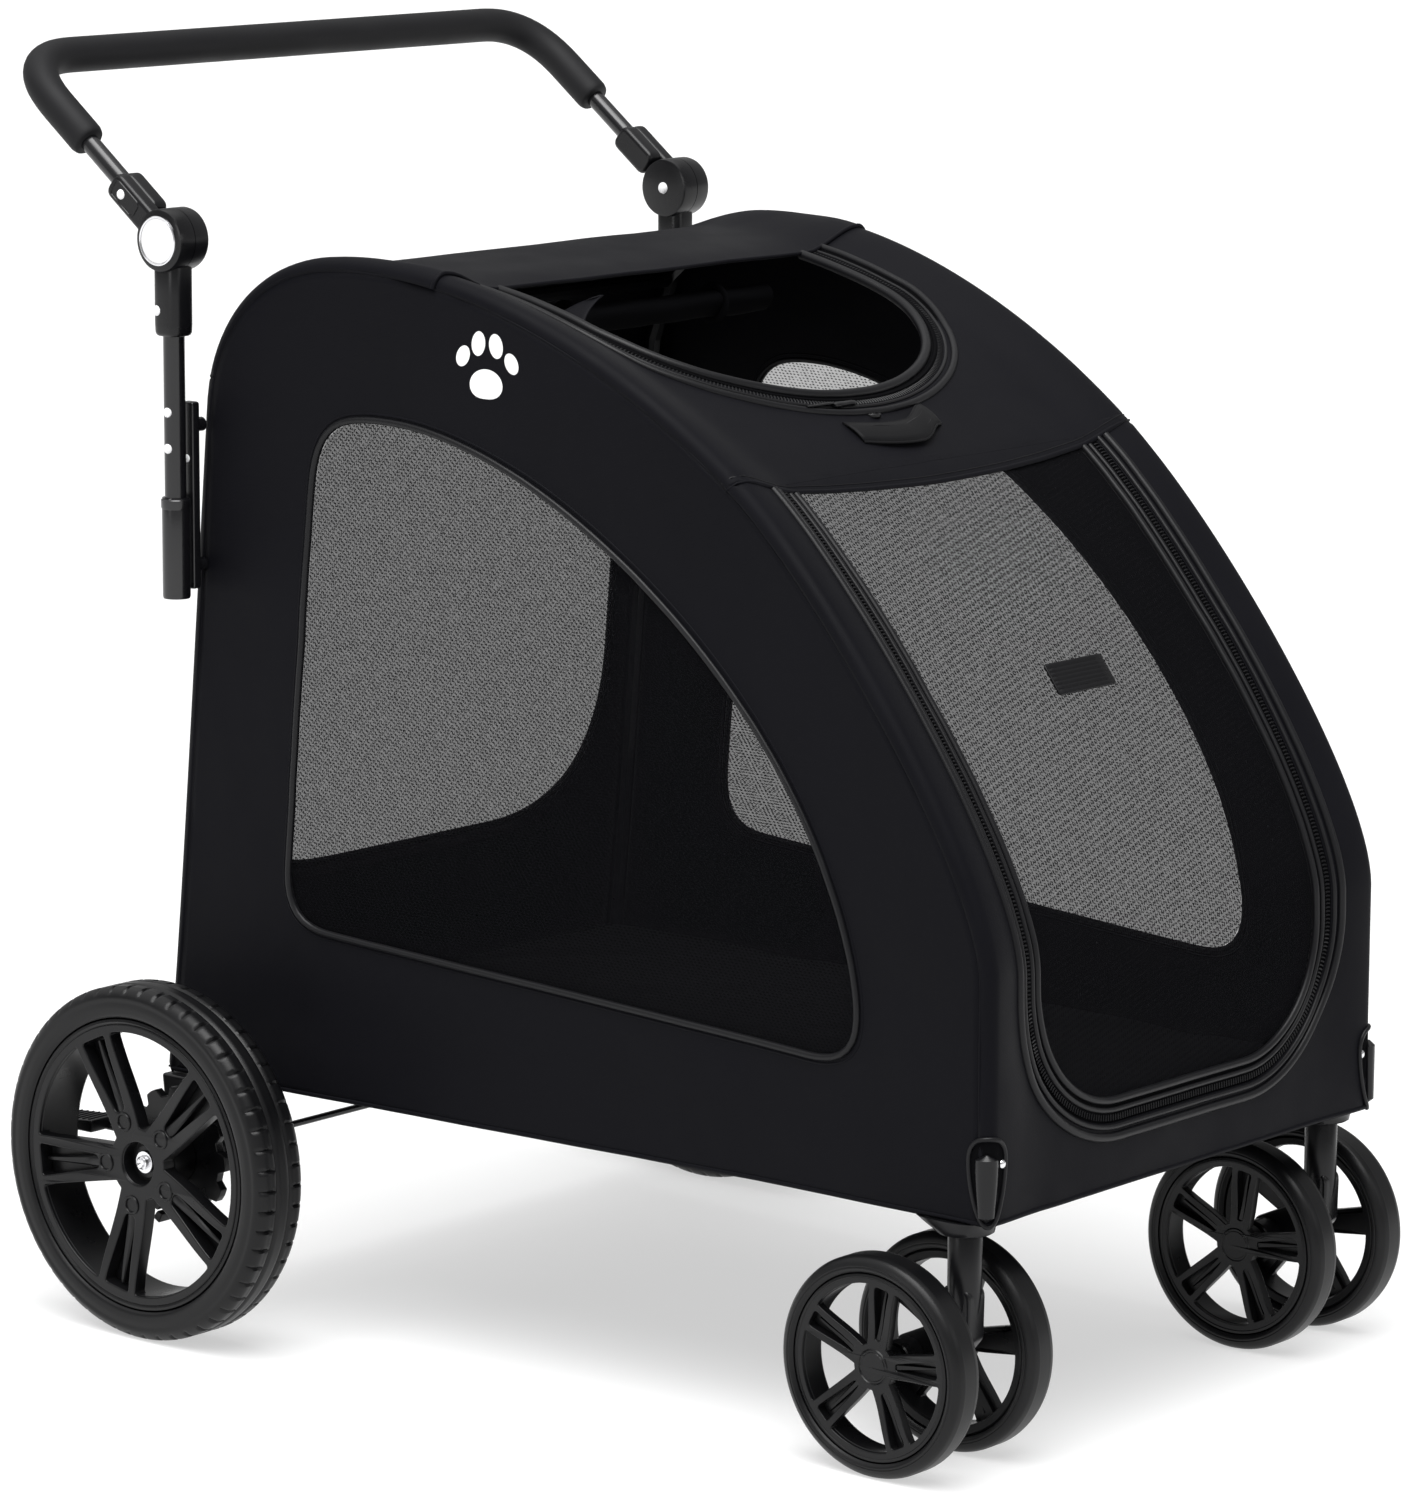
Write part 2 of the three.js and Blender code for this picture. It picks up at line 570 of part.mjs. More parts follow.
function brakeGear() {
  const pitch = (2 * Math.PI) / brake.teeth;
  const root = brake.gearRadius - brake.toothDepth;
  const tooth = [[-0.42, root], [-0.21, brake.gearRadius], [0.21, brake.gearRadius], [0.35, root]];
  const corners = [];
  for (let i = 0; i < brake.teeth; i++) {
    for (const [share, r] of tooth) {
      const angle = (i + share) * pitch;
      corners.push([r * Math.cos(angle), r * Math.sin(angle)]);
    }
  }
  const disc = slabXZ(polygon(corners), 0, brake.gearWidth);
  return cut(disc, cylinder('y', stubAxle + runningGap, -5, brake.gearWidth + 5, [0, 0], 16));
}

function rearWheels() {
  const { rimRadius, width, hubRadius } = rearWheel;
  const wheelRim = rim({ rimRadius, width, hubRadius,
    hubDisc: rearWheel.boltCircle + 5, ring: 9, spoke: { depth: 14, rootHalf: 12, tipHalf: 22, slotHalf: 3 },
    bore: stubAxle + runningGap, recess: { radius: 14, depth: 10 }, segments: 32 });
  const wheelTyre = tyre(rearWheel.radius, rearWheel.width, rearWheel.rimRadius, 32);
  const gearY = -rearWheel.width / 2 - brake.gearWidth + 1;
  const gear = geometryOf(brakeGear()).translate(0, gearY, 0);
  const neck = turned([[stubAxle + runningGap, gearY + 1], [rearWheel.hubRadius + 6, gearY + 1],
    [hubRadius + 6, 3 - width / 2], [stubAxle + runningGap, 3 - width / 2]], 16);
  const wheel = joined(wheelRim, neck, solid(gear));
  for (const [name, side] of sides) {
    const centre = [0, side * rearWheel.centreY, rearWheel.radius];
    add(`rear_tyre_${name}`, placed(wheelTyre, centre, side), rubberBlack);
    add(`rear_rim_${name}`, placed(wheel, centre, side), plasticBlack);
  }
}

function casters() {
  const wheelRim = rim({ rimRadius: caster.rimRadius, width: caster.width, hubRadius: caster.hubRadius,
    hubDisc: caster.hubRadius + 3, ring: 8, spoke: { depth: 9, rootHalf: 8, tipHalf: 14, slotHalf: 2 },
    bore: casterAxle + runningGap, recess: { radius: casterAxle + 3, depth: 5 }, segments: 24 });
  const wheelTyre = tyre(caster.radius, caster.width, caster.rimRadius, 24);
  const axleX = caster.x - caster.trail;
  for (const [name, side] of sides) {
    const y = side * caster.y;
    const stem = cylinder('z', caster.stem, caster.radius + 20, skirtZ - 0.5, [caster.x, y], 20);
    const pin = cylinder('z', casterPin, skirtZ - 3, blockTopZ - 6, [caster.x, y], 16);
    const web = slabXZ(polygon([[caster.x + 12, caster.radius + 43], [caster.x + 10, caster.radius + 12],
      [axleX + 4, caster.radius - 14], [axleX - 12, caster.radius - 6], [axleX - 12, caster.radius + 12],
      [caster.x - 12, caster.radius + 43]]), y - 11, y + 11);
    const boss = cylinder('y', 15, y - 29, y + 29, [axleX, caster.radius], 20);
    const bore = cylinder('y', casterAxle + gap, y - 40, y + 40, [axleX, caster.radius], 16);
    add(`caster_fork_${name}`, cut(joined(stem, pin, web, boss), bore), plasticBlack);
    const reach = (caster.spacing + caster.width) / 2 - 9;
    const axle = cylinder('y', casterAxle, y - reach, y + reach, [axleX, caster.radius], 16);
    add(`caster_axle_${name}`, axle, chrome);
    for (const [place, out] of [['outer', side], ['inner', -side]]) {
      const centre = [axleX, y + (out * caster.spacing) / 2, caster.radius];
      add(`caster_tyre_${name}_${place}`, placed(wheelTyre, centre, out), rubberBlack);
      add(`caster_rim_${name}_${place}`, placed(wheelRim, centre, out), plasticBlack);
    }
  }
}

// ---------------------------------------------------------------- brake
// Outline of the pawl in (x, z) with the brake off: swung by the brake's travel it lies in a gap between gear
// teeth.
function pawlOutline() {
  const gapAngle = (-3.5 * 2 * Math.PI) / brake.teeth;
  const outward = new THREE.Vector2(Math.cos(gapAngle), Math.sin(gapAngle));
  const across = new THREE.Vector2(-outward.y, outward.x);
  const tip = outward.clone().multiplyScalar(brake.gearRadius - brake.toothDepth + 2.5);
  tip.y += rearWheel.radius;
  const base = tip.clone().addScaledVector(outward, brake.pawl);
  const widths = [[tip, 2.5], [base, 4], [base, -4], [tip, -2.5]];
  const corners = widths.map(([at, half]) => at.clone().addScaledVector(across, half));
  const pivot = new THREE.Vector2(brake.pivotX, brake.pivotZ);
  const swing = -THREE.MathUtils.degToRad(brake.swing);
  return corners.map((corner) => corner.rotateAround(pivot, swing).toArray());
}

// Two pedals on one torsion rod: pressing either pad swings a pawl between the teeth of both wheel gears.
function brakePieces() {
  const inner = legOuterY + gap;
  const leverWidth = 14;
  const rodEnd = inner + leverWidth;
  const { pivotX, pivotZ, pedalReach } = brake;
  add('brake_rod', cylinder('y', brake.rod, -rodEnd, rodEnd, [pivotX, pivotZ], 12), paintedSteel);
  const pawl = pawlOutline();
  const padX = pivotX - pedalReach;
  const gearFace = rearWheel.centreY - rearWheel.width / 2 - 1;
  for (const [name, side] of sides) {
    const hanger = polygon([[pivotX + 9, pivotZ + 5], pawl[0], pawl[1], pawl[2], [pivotX - 9, pivotZ - 8],
      [pivotX - 8, pivotZ + 8]]);
    const tail = polygon([[pivotX + 4, pivotZ - 9], [pivotX + 4, pivotZ + 9], [pivotX - 40, pivotZ + 22],
      [padX, pivotZ + 18], [padX, pivotZ + 12], [pivotX - 40, pivotZ + 11]]);
    const lever = mirroredY(side, inner, inner + leverWidth);
    const pad = slabXZ(polygon([[padX + 40, pivotZ + 13], [padX - 6, pivotZ + 12], [padX - 8, pivotZ + 21],
      [padX + 40, pivotZ + 24]]), ...mirroredY(side, inner, inner + 34));
    const tooth = slabXZ(polygon(pawl), ...mirroredY(side, inner, gearFace));
    const boreSpan = mirroredY(side, inner - 1, gearFace);
    const bore = cylinder('y', brake.rod + gap, ...boreSpan, [pivotX, pivotZ], 12);
    const pedal = joined(slabXZ(hanger, ...lever), slabXZ(tail, ...lever), pad, tooth);
    add(`brake_pedal_${name}`, cut(pedal, bore), plasticBlack);
  }
}

// ---------------------------------------------------------------- handle
// Direction of the handle arms in the XZ plane, leaning back from the hinges.
const tilt = THREE.MathUtils.degToRad(arm.tilt);
const alongArm = (distance, y) => new THREE.Vector3(
  handleX - Math.cos(tilt) * distance, y, hinge.z + Math.sin(tilt) * distance);

// A box whose long side runs along an arm, from one distance to another.
function armBox(from, to, yRange, height) {
  const [low, high] = yRange;
  const bar = new THREE.BoxGeometry(to - from, high - low, height);
  bar.translate(-(from + to) / 2, (low + high) / 2, 0).rotateY(tilt);
  return solid(bar.translate(handleX, 0, hinge.z));
}

function handleUprights() {
  for (const [name, side] of sides) {
    const outer = cylinder('z', sleeve.radius, sleeve.bottomZ, sleeve.topZ, [handleX, side * handleY], 20);
    const halfWidth = mountRail.width / 2;
    const rail = box([handleX - halfWidth, handleX + halfWidth],
      mirroredY(side, mountRail.y - mountRail.depth / 2, mountRail.y + mountRail.depth / 2),
      [sleeve.bottomZ + 6, mountRail.topZ]);
    const web = box([handleX - 4, handleX + 4], mirroredY(side, mountRail.y, handleY),
      [sleeve.bottomZ + 6, sleeve.topZ - 6]);
    const bore = cylinder('z', handleTube + runningGap, 600, 720, [handleX, side * handleY], 20);
    const bolts = [sleeve.bottomZ + 25, mountRail.topZ - 20].map((z) => cylinder('y', 6,
      ...mirroredY(side, cabinHalfWidth(handleX) + 1, mountRail.y), [handleX, z], 12));
    add(`handle_sleeve_${name}`, cut(joined(outer, rail, web, ...bolts), bore), paintedSteel);
    const tubeTopZ = housing.bottomZ + 34;
    const tube = cylinder('z', handleTube, handleInsertZ, tubeTopZ, [handleX, side * handleY], 20);
    add(`handle_tube_${name}`, tube, paintedSteel);
  }
}

// Each hinge has an inner half on the upright tube and an outer half on the handle arm.
function handleHinges() {
  const inside = [handleY - hinge.halfLength, handleY - gap / 2];
  const outside = [handleY + gap / 2, handleY + hinge.halfLength];
  const clear = hinge.radius + gap;
  const before = handleY - hinge.halfLength - 20;
  const beyond = handleY + hinge.halfLength + 20;
  for (const [name, side] of sides) {
    const wide = mirroredY(side, handleY - housing.depth / 2, handleY + housing.depth / 2);
    const innerHalf = cylinder('y', hinge.radius, ...mirroredY(side, ...inside), [handleX, hinge.z], 28);
    const axis = [handleX, hinge.z];
    const halfNeck = housing.width / 2;
    const neck = box([handleX - halfNeck, handleX + halfNeck], wide, [housing.bottomZ, hinge.z]);
    const roomAbove = cylinder('y', clear, ...mirroredY(side, handleY - gap / 2, beyond), axis, 28);
    const socketTopZ = housing.bottomZ + 34 + gap;
    const socket = cylinder('z', handleTube + gap, 800, socketTopZ, [handleX, side * handleY], 20);
    const pinHole = cylinder('y', hinge.pin + runningGap, ...mirroredY(side, before, beyond), axis, 12);
    add(`hinge_lower_${name}`, cut(joined(innerHalf, neck), roomAbove, socket, pinHole), plasticBlack);

    const outerHalf = cylinder('y', hinge.radius, ...mirroredY(side, ...outside), [handleX, hinge.z], 28);
    const upper = armBox(0, arm.length, wide, arm.width);
    const roomBelow = cylinder('y', clear, ...mirroredY(side, before, handleY + gap / 2), axis, 28);
    const armSocket = rodAlong(straight(alongArm(arm.length - 30, side * handleY).toArray(),
      alongArm(arm.length + 10, side * handleY).toArray()), arm.tube + gap, 1, 16);
    const wellSpan = mirroredY(side, handleY + hinge.halfLength - 7, beyond);
    const buttonWell = cylinder('y', hinge.button + runningGap, ...wellSpan,
      [handleX, hinge.z], 28);
    const upperHalf = cut(joined(outerHalf, upper), roomBelow, armSocket, buttonWell, pinHole);
    add(`hinge_upper_${name}`, upperHalf, plasticBlack);

    const face = handleY + hinge.halfLength + 2;
    const button = cylinder('y', hinge.button, ...mirroredY(side, face - 5, face), [handleX, hinge.z], 28);
    add(`hinge_button_${name}`, button, chrome);
    const pinEnd = mirroredY(side, handleY - hinge.halfLength - 1.5, handleY + 9);
    const headed = mirroredY(side, handleY - hinge.halfLength - 1.5, handleY - hinge.halfLength - gap / 2);
    add(`hinge_pin_${name}`, joined(cylinder('y', hinge.pin, ...pinEnd, [handleX, hinge.z], 12),
      cylinder('y', hinge.pin + 2, ...headed, [handleX, hinge.z], 12)), chrome);
  }
}

// The U-shaped bar as one path: up one arm, across behind and down the other arm.
function barPath(start) {
  const bendStart = arm.reach - arm.bend;
  const corner = handleY - arm.bend;
  const line = (a, b) => [new THREE.LineCurve3(alongArm(...a), alongArm(...b)), 1];
  const curve = (a, b, c) => new THREE.QuadraticBezierCurve3(alongArm(...a), alongArm(...b), alongArm(...c));
  const bend = (a, b, c) => [curve(a, b, c), 5];
  return new SteppedPath([
    line([start, -handleY], [bendStart, -handleY]),
    bend([bendStart, -handleY], [arm.reach, -handleY], [arm.reach, -corner]),
    line([arm.reach, -corner], [arm.reach, corner]),
    bend([arm.reach, corner], [arm.reach, handleY], [bendStart, handleY]),
    line([bendStart, handleY], [start, handleY]),
  ]);
}

function handleBar() {
  const steps = 13;
  add('handle_bar', rodAlong(barPath(arm.length - 28), arm.tube, steps, 10), paintedSteel);
  const outer = rodAlong(barPath(grip.start), grip.radius, steps, 10);
  const inner = rodAlong(barPath(arm.length), arm.tube + 0.6, steps, 10);
  add('foam_grip', cut(outer, inner), foamBlack);
}

// ---------------------------------------------------------------- assembly
sidePanels();
wrapPanels();
floorPieces();
frameTubes();
frontCorners();
rearLegs();
rearWheels();
casters();
brakePieces();
handleUprights();
handleHinges();
handleBar();

// The origin is on the ground below the middle of the stroller's length.
const extent = new THREE.Box3().setFromObject(stroller);
stroller.position.x = -(extent.min.x + extent.max.x) / 2;

export default stroller;
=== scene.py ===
"""Pet stroller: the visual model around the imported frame. Sizes are millimetres in the part's layout
frame, x = 0 at the rear wheel axis, +X forward, +Y left, +Z up; at() turns them into the frame's metres."""
import bpy
import math
import numpy as np
from mathutils import Matrix, Vector, noise


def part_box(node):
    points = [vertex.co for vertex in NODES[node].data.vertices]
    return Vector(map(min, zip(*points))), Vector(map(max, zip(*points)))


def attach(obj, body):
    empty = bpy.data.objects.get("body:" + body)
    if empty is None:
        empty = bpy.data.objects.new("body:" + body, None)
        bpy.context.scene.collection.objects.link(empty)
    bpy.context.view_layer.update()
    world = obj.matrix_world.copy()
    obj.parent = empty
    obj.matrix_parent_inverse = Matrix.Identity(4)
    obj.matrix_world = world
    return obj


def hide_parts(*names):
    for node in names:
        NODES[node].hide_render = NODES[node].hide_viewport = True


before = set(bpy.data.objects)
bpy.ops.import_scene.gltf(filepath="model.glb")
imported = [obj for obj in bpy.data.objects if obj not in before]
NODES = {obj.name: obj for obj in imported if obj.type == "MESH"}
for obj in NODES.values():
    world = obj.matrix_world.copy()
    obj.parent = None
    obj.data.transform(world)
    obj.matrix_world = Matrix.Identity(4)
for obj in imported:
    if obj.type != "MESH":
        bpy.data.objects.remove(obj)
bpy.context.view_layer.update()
MM = 0.001
axle_low, axle_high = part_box("rear_stub_axle_right")
SHIFT = (axle_low.x + axle_high.x) / 2 / MM
SIDES = (("right", -1), ("left", 1))

# ---------------------------------------------------------------- driving sizes, as in the CAD
BOTTOM_Z = 205
FRONT_X = 793
REAR_X = -62
FRONT_HALF = 261
REAR_HALF = 290
TAPER_X = 560
FOLD = 10  # radius of the fabric over the hoops
RIDGE = 75
AXLE_Z = 150
WHEEL_Y = 366
CASTER_X = 757
CASTER_Y = 243
CASTER_AXLE = (712, 88.5)
HANDLE_X = -11
HANDLE_Y = 320
HINGE_Z = 915
ARM_TILT = math.radians(38)


def at(x, y, z):
    return ((x + SHIFT) * MM, y * MM, z * MM)


# ---------------------------------------------------------------- materials
def new_material(name):
    mat = bpy.data.materials.new(name)
    mat.use_nodes = True
    tree = mat.node_tree
    shader = tree.nodes["Principled BSDF"]
    return mat, tree, shader


def node(tree, kind, **values):
    made = tree.nodes.new(kind)
    for key, value in values.items():
        if key.startswith("in_"):
            made.inputs[key[3:].replace("_", " ")].default_value = value
        else:
            setattr(made, key, value)
    return made


def ramp(tree, source, low, high, low_colour, high_colour):
    """A two-stop colour ramp fed by source."""
    made = tree.nodes.new("ShaderNodeValToRGB")
    made.color_ramp.elements[0].position = low
    made.color_ramp.elements[1].position = high
    made.color_ramp.elements[0].color = (*low_colour, 1)
    made.color_ramp.elements[1].color = (*high_colour, 1)
    tree.links.new(source, made.inputs["Fac"])
    return made.outputs["Color"]


def maths(tree, operation, a, b):
    made = tree.nodes.new("ShaderNodeMath")
    made.operation = operation
    for socket, value in zip(made.inputs, (a, b)):
        if isinstance(value, (int, float)):
            socket.default_value = value
        else:
            tree.links.new(value, socket)
    return made.outputs[0]


def coordinates(tree, kind):
    return tree.nodes.new("ShaderNodeTexCoord").outputs[kind]


def bump(tree, shader, height, strength, distance):
    made = node(tree, "ShaderNodeBump", in_Strength=strength, in_Distance=distance)
    tree.links.new(height, made.inputs["Height"])
    tree.links.new(made.outputs["Normal"], shader.inputs["Normal"])


def woven(name, dark, light, roughness, pitch, specular=0.18, sheen=0.05, crease=0.35):
    """Coated oxford cloth: crossed threads of the given pitch, faint blotches and soft creases."""
    mat, tree, shader = new_material(name)
    vector = coordinates(tree, "UV")
    bands = 0.314 / (pitch * MM)
    across = node(tree, "ShaderNodeTexWave", bands_direction="X", in_Scale=bands)
    along = node(tree, "ShaderNodeTexWave", bands_direction="Y", in_Scale=bands)
    for wave in (across, along):
        tree.links.new(vector, wave.inputs["Vector"])
    threads = maths(tree, "MULTIPLY", across.outputs["Fac"], along.outputs["Fac"])
    soft = node(tree, "ShaderNodeTexNoise", in_Scale=9.0, in_Detail=3.0)
    tree.links.new(vector, soft.inputs["Vector"])
    fine = node(tree, "ShaderNodeTexNoise", in_Scale=900.0, in_Detail=2.0)
    tree.links.new(vector, fine.inputs["Vector"])
    blotch = maths(tree, "ADD", maths(tree, "MULTIPLY", soft.outputs["Fac"], 0.7),
                   maths(tree, "MULTIPLY", fine.outputs["Fac"], 0.3))
    tree.links.new(ramp(tree, blotch, 0.3, 0.7, dark, light), shader.inputs["Base Color"])
    worn = ramp(tree, soft.outputs["Fac"], 0.35, 0.65, (roughness - 0.06,) * 3, (roughness + 0.06,) * 3)
    tree.links.new(worn, shader.inputs["Roughness"])
    shader.inputs["Specular IOR Level"].default_value = specular
    shader.inputs["Sheen Weight"].default_value = sheen
    shader.inputs["Sheen Roughness"].default_value = 0.5
    height = maths(tree, "ADD", maths(tree, "MULTIPLY", threads, 0.25),
                   maths(tree, "MULTIPLY", soft.outputs["Fac"], crease * 8))
    bump(tree, shader, height, 0.5, 0.0006)
    return mat


def netting(name, pitch, shear, clear, fibre=(0.005, 0.005, 0.006)):
    """Knitted mesh: fine threads that let part of the light through, with rows of denser knots."""
    mat, tree, shader = new_material(name)
    source = tree.nodes.new("ShaderNodeTexCoord")
    split = tree.nodes.new("ShaderNodeSeparateXYZ")
    tree.links.new(source.outputs["UV"], split.inputs[0])
    slanted = maths(tree, "ADD", split.outputs["X"], maths(tree, "MULTIPLY", split.outputs["Y"], shear))
    joined = tree.nodes.new("ShaderNodeCombineXYZ")
    tree.links.new(maths(tree, "DIVIDE", slanted, pitch[0] * MM), joined.inputs["X"])
    tree.links.new(maths(tree, "DIVIDE", split.outputs["Y"], pitch[1] * MM), joined.inputs["Y"])
    cells = node(tree, "ShaderNodeTexVoronoi", in_Scale=1.0, in_Randomness=0.2)
    tree.links.new(joined.outputs[0], cells.inputs["Vector"])
    drift = node(tree, "ShaderNodeTexNoise", in_Scale=0.35, in_Detail=2.0)
    tree.links.new(joined.outputs[0], drift.inputs["Vector"])
    knots = ramp(tree, cells.outputs["Distance"], 0.2, 0.36, (1, 1, 1), (0, 0, 0))
    base = maths(tree, "ADD", 1 - clear - 0.05, maths(tree, "MULTIPLY", drift.outputs["Fac"], 0.1))
    alpha = maths(tree, "ADD", base, maths(tree, "MULTIPLY", knots, 0.9 * clear))
    tree.links.new(alpha, shader.inputs["Alpha"])
    shade = ramp(tree, cells.outputs["Distance"], 0.1, 0.6, tuple(0.6 * c for c in fibre), fibre)
    tree.links.new(shade, shader.inputs["Base Color"])
    shader.inputs["Roughness"].default_value = 0.85
    shader.inputs["Specular IOR Level"].default_value = 0.03
    bump(tree, shader, cells.outputs["Distance"], 0.4, 0.0005)
    return mat


def moulded(name, dark, light, roughness, specular=0.5, grain=1600.0, grain_height=0.00008, coat=0.0):
    """Moulded plastic or paint: fine grain, slight polish variation and a touch of colour drift."""
    mat, tree, shader = new_material(name)
    vector = coordinates(tree, "Object")
    grains = node(tree, "ShaderNodeTexNoise", in_Scale=grain, in_Detail=2.0)
    drift = node(tree, "ShaderNodeTexNoise", in_Scale=22.0, in_Detail=4.0)
    for made in (grains, drift):
        tree.links.new(vector, made.inputs["Vector"])
    tree.links.new(ramp(tree, drift.outputs["Fac"], 0.3, 0.7, dark, light), shader.inputs["Base Color"])
    polish = ramp(tree, drift.outputs["Fac"], 0.3, 0.7, (roughness - 0.05,) * 3, (roughness + 0.05,) * 3)
    tree.links.new(polish, shader.inputs["Roughness"])
    shader.inputs["Specular IOR Level"].default_value = specular
    shader.inputs["Coat Weight"].default_value = coat
    shader.inputs["Coat Roughness"].default_value = 0.25
    bump(tree, shader, grains.outputs["Fac"], 0.35, grain_height)
    return mat


def metal(name, colour, roughness):
    mat, tree, shader = new_material(name)
    vector = coordinates(tree, "Object")
    scratches = node(tree, "ShaderNodeTexNoise", in_Scale=700.0, in_Detail=3.0)
    tree.links.new(vector, scratches.inputs["Vector"])
    shader.inputs["Metallic"].default_value = 1.0
    dull = tuple(0.9 * c for c in colour)
    tree.links.new(ramp(tree, scratches.outputs["Fac"], 0.3, 0.7, dull, colour), shader.inputs["Base Color"])
    tree.links.new(ramp(tree, scratches.outputs["Fac"], 0.3, 0.7, (roughness,) * 3, (roughness + 0.1,) * 3),
                   shader.inputs["Roughness"])
    bump(tree, shader, scratches.outputs["Fac"], 0.2, 0.00005)
    return mat


MAT = {
    "fabric": woven("coated_oxford", (0.0028, 0.0028, 0.0042), (0.004, 0.004, 0.0058), 0.52, 1.1,
                    specular=0.06, sheen=0.01),
    "webbing": woven("webbing", (0.003, 0.003, 0.0035), (0.005, 0.005, 0.006), 0.6, 1.6, specular=0.12,
                     sheen=0.01),
    # near-black tape for the zips, ties and rolled flap; the same colour is laid in the corner pockets as
    # painted shade
    "shade_and_tape": woven("dark_tape_with_painted_shade", (0.002, 0.002, 0.0025), (0.003, 0.003, 0.0035), 0.8, 0.9, specular=0.03,
                    sheen=0.0),
    "piping": woven("piping_cord", (0.004, 0.004, 0.005), (0.006, 0.006, 0.007), 0.38, 0.8, specular=0.22,
                     sheen=0.0, crease=0.1),
    "net": netting("side_netting", (4.4, 2.4), 0.7, 0.39),
    "door_net": netting("door_netting", (5.6, 2.8), 0.25, 0.39),
    "fleece": woven("padded_fleece", (0.004, 0.004, 0.005), (0.008, 0.008, 0.009), 0.9, 2.2, specular=0.05,
                    sheen=0.02),
    "plastic": moulded("black_plastic", (0.003, 0.003, 0.0035), (0.005, 0.005, 0.006), 0.28, 0.3),
    "hub_plastic": moulded("rim_plastic", (0.003, 0.003, 0.0035), (0.0045, 0.0045, 0.005), 0.3, 0.26),
    "paint": moulded("black_paint", (0.004, 0.004, 0.005), (0.006, 0.006, 0.007), 0.2, 0.5, 900.0, 0.00003,
                     coat=0.1),
    "rubber": moulded("tyre_rubber", (0.003, 0.003, 0.0035), (0.005, 0.005, 0.0055), 0.36, 0.24, 1100.0,
                      0.0002),
    "foam": moulded("grip_foam", (0.005, 0.005, 0.006), (0.007, 0.007, 0.008), 0.6, 0.22, 1500.0, 0.0003),
    "board": moulded("fibreboard", (0.008, 0.007, 0.006), (0.012, 0.011, 0.01), 0.7, 0.2, 500.0, 0.0003),
    "chrome": metal("plated_steel", (0.82, 0.82, 0.84), 0.12),
    # flat white for the button caps, and for the plated rivet heads as their painted reflection
    "white": moulded("white_cap_and_rivet_glint", (0.86, 0.86, 0.87), (0.92, 0.92, 0.93), 0.3, 0.5, 900.0, 0.00003),
    "print": moulded("white_print", (0.82, 0.82, 0.82), (0.9, 0.9, 0.9), 0.6, 0.3, 1500.0, 0.0001),
}


# ---------------------------------------------------------------- mesh makers
def piece(name, verts, faces, body, look, replaces=(), uvs=None, sharp=35, metres=False):
    """A mesh piece from layout millimetres (or from metres already in the frame)."""
    mesh = bpy.data.meshes.new(name)
    mesh.from_pydata([v if metres else at(*v) for v in verts], [], faces)
    mesh.polygons.foreach_set("use_smooth", [True] * len(mesh.polygons))
    mesh.set_sharp_from_angle(angle=math.radians(sharp))
    if uvs is not None:
        layer = mesh.uv_layers.new(name="UVMap")
        index = np.empty(len(mesh.loops), int)
        mesh.loops.foreach_get("vertex_index", index)
        layer.data.foreach_set("uv", (np.array(uvs, float)[index] * MM).ravel())
    mesh.materials.append(MAT[look])
    made = bpy.data.objects.new(name, mesh)
    bpy.context.scene.collection.objects.link(made)
    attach(made, body)
    if replaces:
        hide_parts(*replaces)
    return made


def grid_faces(rows, columns, closed_rows=False, closed_columns=False):
    faces = []
    for j in range(rows if closed_rows else rows - 1):
        for i in range(columns if closed_columns else columns - 1):
            a = j * columns + i
            b = j * columns + (i + 1) % columns
            c = (j + 1) % rows * columns + (i + 1) % columns
            d = (j + 1) % rows * columns + i
            faces.append((a, b, c, d))
    return faces


def capped_faces(rows, columns, flipped=False):
    """Faces of a tube of closed rings, with both ends filled."""
    first = tuple(range(columns))
    last = tuple((rows - 1) * columns + k for k in range(columns))
    ends = [first, last[::-1]] if flipped else [first[::-1], last]
    return grid_faces(rows, columns, closed_columns=True) + ends


def sweep(points, radius, sides=10, closed=False, flat=1.0):
    """Verts and faces of a tube along points; flat below 1 squashes its cross-section."""
    points = np.array(points, float)
    count = len(points)
    tangents = np.roll(points, -1, 0) - np.roll(points, 1, 0) if closed else np.gradient(points, axis=0)
    tangents /= np.linalg.norm(tangents, axis=1)[:, None]
    normal = np.cross(tangents[0], (0.0, 1.0, 0.0))
    if np.linalg.norm(normal) < 0.1:
        normal = np.cross(tangents[0], (0.0, 0.0, 1.0))
    normal /= np.linalg.norm(normal)
    normals = []
    for t in tangents:
        normal = normal - t * normal.dot(t)
        normal /= np.linalg.norm(normal)
        normals.append(normal)
    normals = np.array(normals)
    if closed:
        end = normals[-1] - tangents[0] * normals[-1].dot(tangents[0])
        end /= np.linalg.norm(end)
        twist = math.atan2(np.cross(end, normals[0]).dot(tangents[0]), end.dot(normals[0]))
        for i in range(count):
            b = np.cross(tangents[i], normals[i])
            a = twist * i / count
            normals[i] = normals[i] * math.cos(a) + b * math.sin(a)
    sideways = np.cross(tangents, normals)
    radii = np.broadcast_to(np.array(radius, float), (count,))
    verts = []
    for i in range(count):
        for k in range(sides):
            a = 2 * math.pi * k / sides
            offset = normals[i] * math.cos(a) + sideways[i] * math.sin(a) * flat
            verts.append(tuple(points[i] + offset * radii[i]))
    if closed:
        return verts, grid_faces(count, sides, closed_rows=True, closed_columns=True)
    return verts, capped_faces(count, sides)


def tube(name, points, radius, body, look, replaces=(), sides=12, closed=False, flat=1.0):
    verts, faces = sweep(points, radius, sides, closed, flat)
    return piece(name, verts, faces, body, look, replaces, sharp=50)


